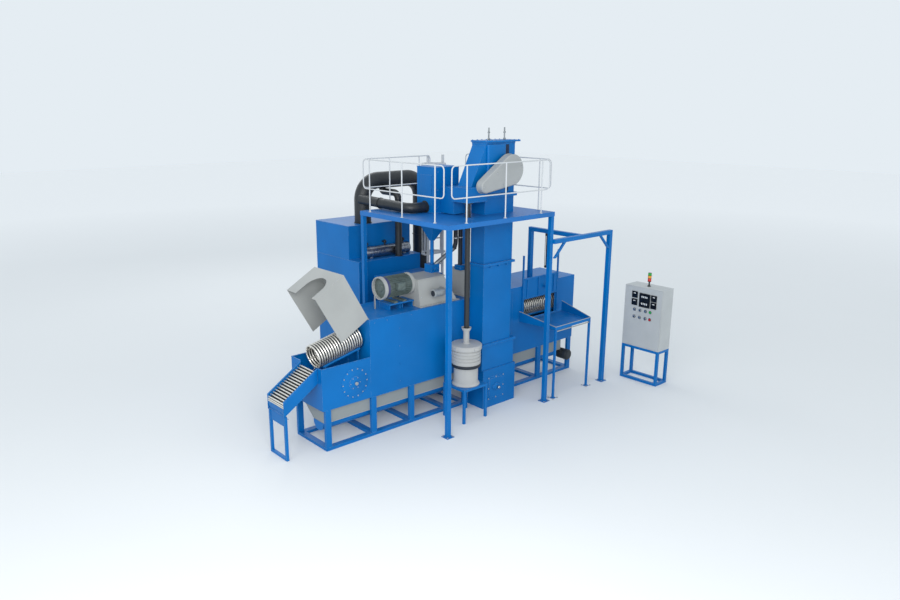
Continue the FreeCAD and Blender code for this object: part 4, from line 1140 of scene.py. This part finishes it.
class BLASTER_OT_cabinet(bpy.types.Operator):
    """Meters, buttons and lamps of the control cabinet"""
    bl_idname = "blaster.cabinet"
    bl_label = "Control cabinet"

    def execute(self, context):
        face, out = 6.235, -X
        door = {"body": "cabinet_door"}
        frames, glass, marks = [], [], []
        for y, z, width, height in ((-1.17, 1.7, 0.125, 0.125), (-1.17, 1.555, 0.125, 0.125),
                                    (-1.385, 1.615, 0.235, 0.27),
                                    (-1.58, 1.685, 0.125, 0.125), (-1.58, 1.55, 0.125, 0.125)):
            frames.append(moved(prism(rounded(width, height, 0.008), face - 0.012, face - 0.0002, 0.003,
                                      "x"), 0, y, z))
            glass.append(moved(prism(rounded(width * 0.88, height * 0.88, 0.006), face - 0.0135,
                                     face - 0.011, 0.001, "x"), 0, y, z))
            if height < 0.2:
                spots = [(0, 0.026, 0.046, 0.014)]
            else:
                spots = [(step, shift, 0.02, 0.036) for step in (-0.05, -0.015, 0.02, 0.055)
                         for shift in (-0.066, 0.066)]
            for aside, up, wide, tall in spots:
                marks.append(moved(prism(rounded(wide, tall, 0.002, 2), face - 0.0145, face - 0.013, 0.0002,
                                         "x"), 0, y + aside, z + up))
        piece("meter_frames", joined(*frames), "black_moulded_plastic", **door)
        piece("meter_glass", joined(*glass), "meter_glass_black", **door)
        piece("meter_marks", joined(*marks), "dial_white", **door)
        collars = []
        colours = {"button_green": [], "button_red": [], "button_metal": []}
        knob = ((0, 0), (0.024, 0), (0.024, 0.009), (0.02, 0.014), (0, 0.015))
        columns = (-1.18, -1.3, -1.42, -1.52)
        for z, last in ((1.41, "button_green"), (1.27, "button_red")):
            for y in columns:
                collars.append(spun(((0, 0), (0.03, 0), (0.03, 0.005), (0.026, 0.009), (0, 0.009)),
                                    (face - 0.0002, y, z), out, 28))
                colours[last if y == columns[-1] else "button_metal"].append(spun(knob,
                                                                                  (face - 0.0005, y, z),
                                                                                  out, 24))
        piece("button_collars", joined(*collars), "black_moulded_plastic", **door)
        for coat, parts in colours.items():
            piece("knobs_" + coat, joined(*parts), coat, **door)
        seam = [block((face - 0.003, face + 0.004), (-1.745, -0.955), z, 0.001)
                for z in ((0.69, 0.698), (1.847, 1.855))]
        seam += [block((face - 0.003, face + 0.004), y, (0.69, 1.855), 0.001)
                 for y in ((-1.747, -1.739), (-0.961, -0.953))]
        piece("door_rims", joined(*seam), "powder_coated_grey", **door)
        edge = [block((6.262, 6.6), (-1.75, -0.95), z, 0.003) for z in ((1.85, 1.8605), (0.6855, 0.696))]
        gland = [bar((x, -1.3, 0.6855), (x, -1.3, 0.655), 0.018, 16, 0.002) for x in (6.38, 6.46)]
        piece("case_folds", joined(*edge, *gland), "powder_coated_grey")
        x, y = 6.4, -1.35
        for name, coat, low, high in (("lamp_red", "lens_red", 1.96, 2.012),
                                      ("lamp_amber", "lens_amber", 2.02, 2.066),
                                      ("lamp_green", "lens_green", 2.074, 2.1165)):
            piece(name, spun(((0, 0), (0.031, 0), (0.033, 0.004), (0.033, high - low - 0.004),
                              (0.031, high - low), (0, high - low)), (x, y, low), sides=32), coat)
        foot = ((0, 0), (0.034, 0), (0.034, 0.012), (0.014, 0.018), (0.014, 0.08), (0.033, 0.09),
                (0.033, 0.1), (0, 0.1))
        cap = ((0, 0), (0.033, 0), (0.031, 0.003), (0, 0.0034))
        gaps = [disc(0.034, 0.008, (x, y, z)) for z in (2.012, 2.066)]
        piece("lamp_foot", joined(spun(foot, (x, y, 1.8603), sides=32), spun(cap, (x, y, 2.1165), sides=32),
                                  *gaps), "black_moulded_plastic",
              replaces=["stack_light"])
        return {"FINISHED"}


class BLASTER_PT_panel(bpy.types.Panel):
    """Lists the pieces in the 3D view's sidebar"""
    bl_idname = "BLASTER_PT_panel"
    bl_label = "Shot blasting machine"
    bl_space_type = "VIEW_3D"
    bl_region_type = "UI"
    bl_category = "Machine"

    def draw(self, context):
        for group in (context.scene.blaster_sizes, context.scene.blaster_colours):
            for key in group.__annotations__:
                self.layout.prop(group, key)
        for step in STEPS:
            self.layout.operator(step.bl_idname)


STEPS = (BLASTER_OT_studio, BLASTER_OT_coats, BLASTER_OT_handrails, BLASTER_OT_drums, BLASTER_OT_chute,
         BLASTER_OT_trough, BLASTER_OT_wheels, BLASTER_OT_ducts, BLASTER_OT_collector, BLASTER_OT_ladder,
         BLASTER_OT_guard, BLASTER_OT_pot, BLASTER_OT_elevator, BLASTER_OT_separator, BLASTER_OT_feed,
         BLASTER_OT_feet, BLASTER_OT_screw, BLASTER_OT_cabinet)
CLASSES = (BlasterSizes, BlasterColours, *STEPS, BLASTER_PT_panel)


def register():
    for item in CLASSES:
        bpy.utils.register_class(item)
    bpy.types.Scene.blaster_sizes = bpy.props.PointerProperty(type=BlasterSizes)
    bpy.types.Scene.blaster_colours = bpy.props.PointerProperty(type=BlasterColours)


def unregister():
    del bpy.types.Scene.blaster_sizes
    del bpy.types.Scene.blaster_colours
    for item in reversed(CLASSES):
        bpy.utils.unregister_class(item)


def main():
    register()
    for step in STEPS:
        group, name = step.bl_idname.split(".")
        getattr(getattr(bpy.ops, group), name)()


if __name__ == "__main__":
    main()
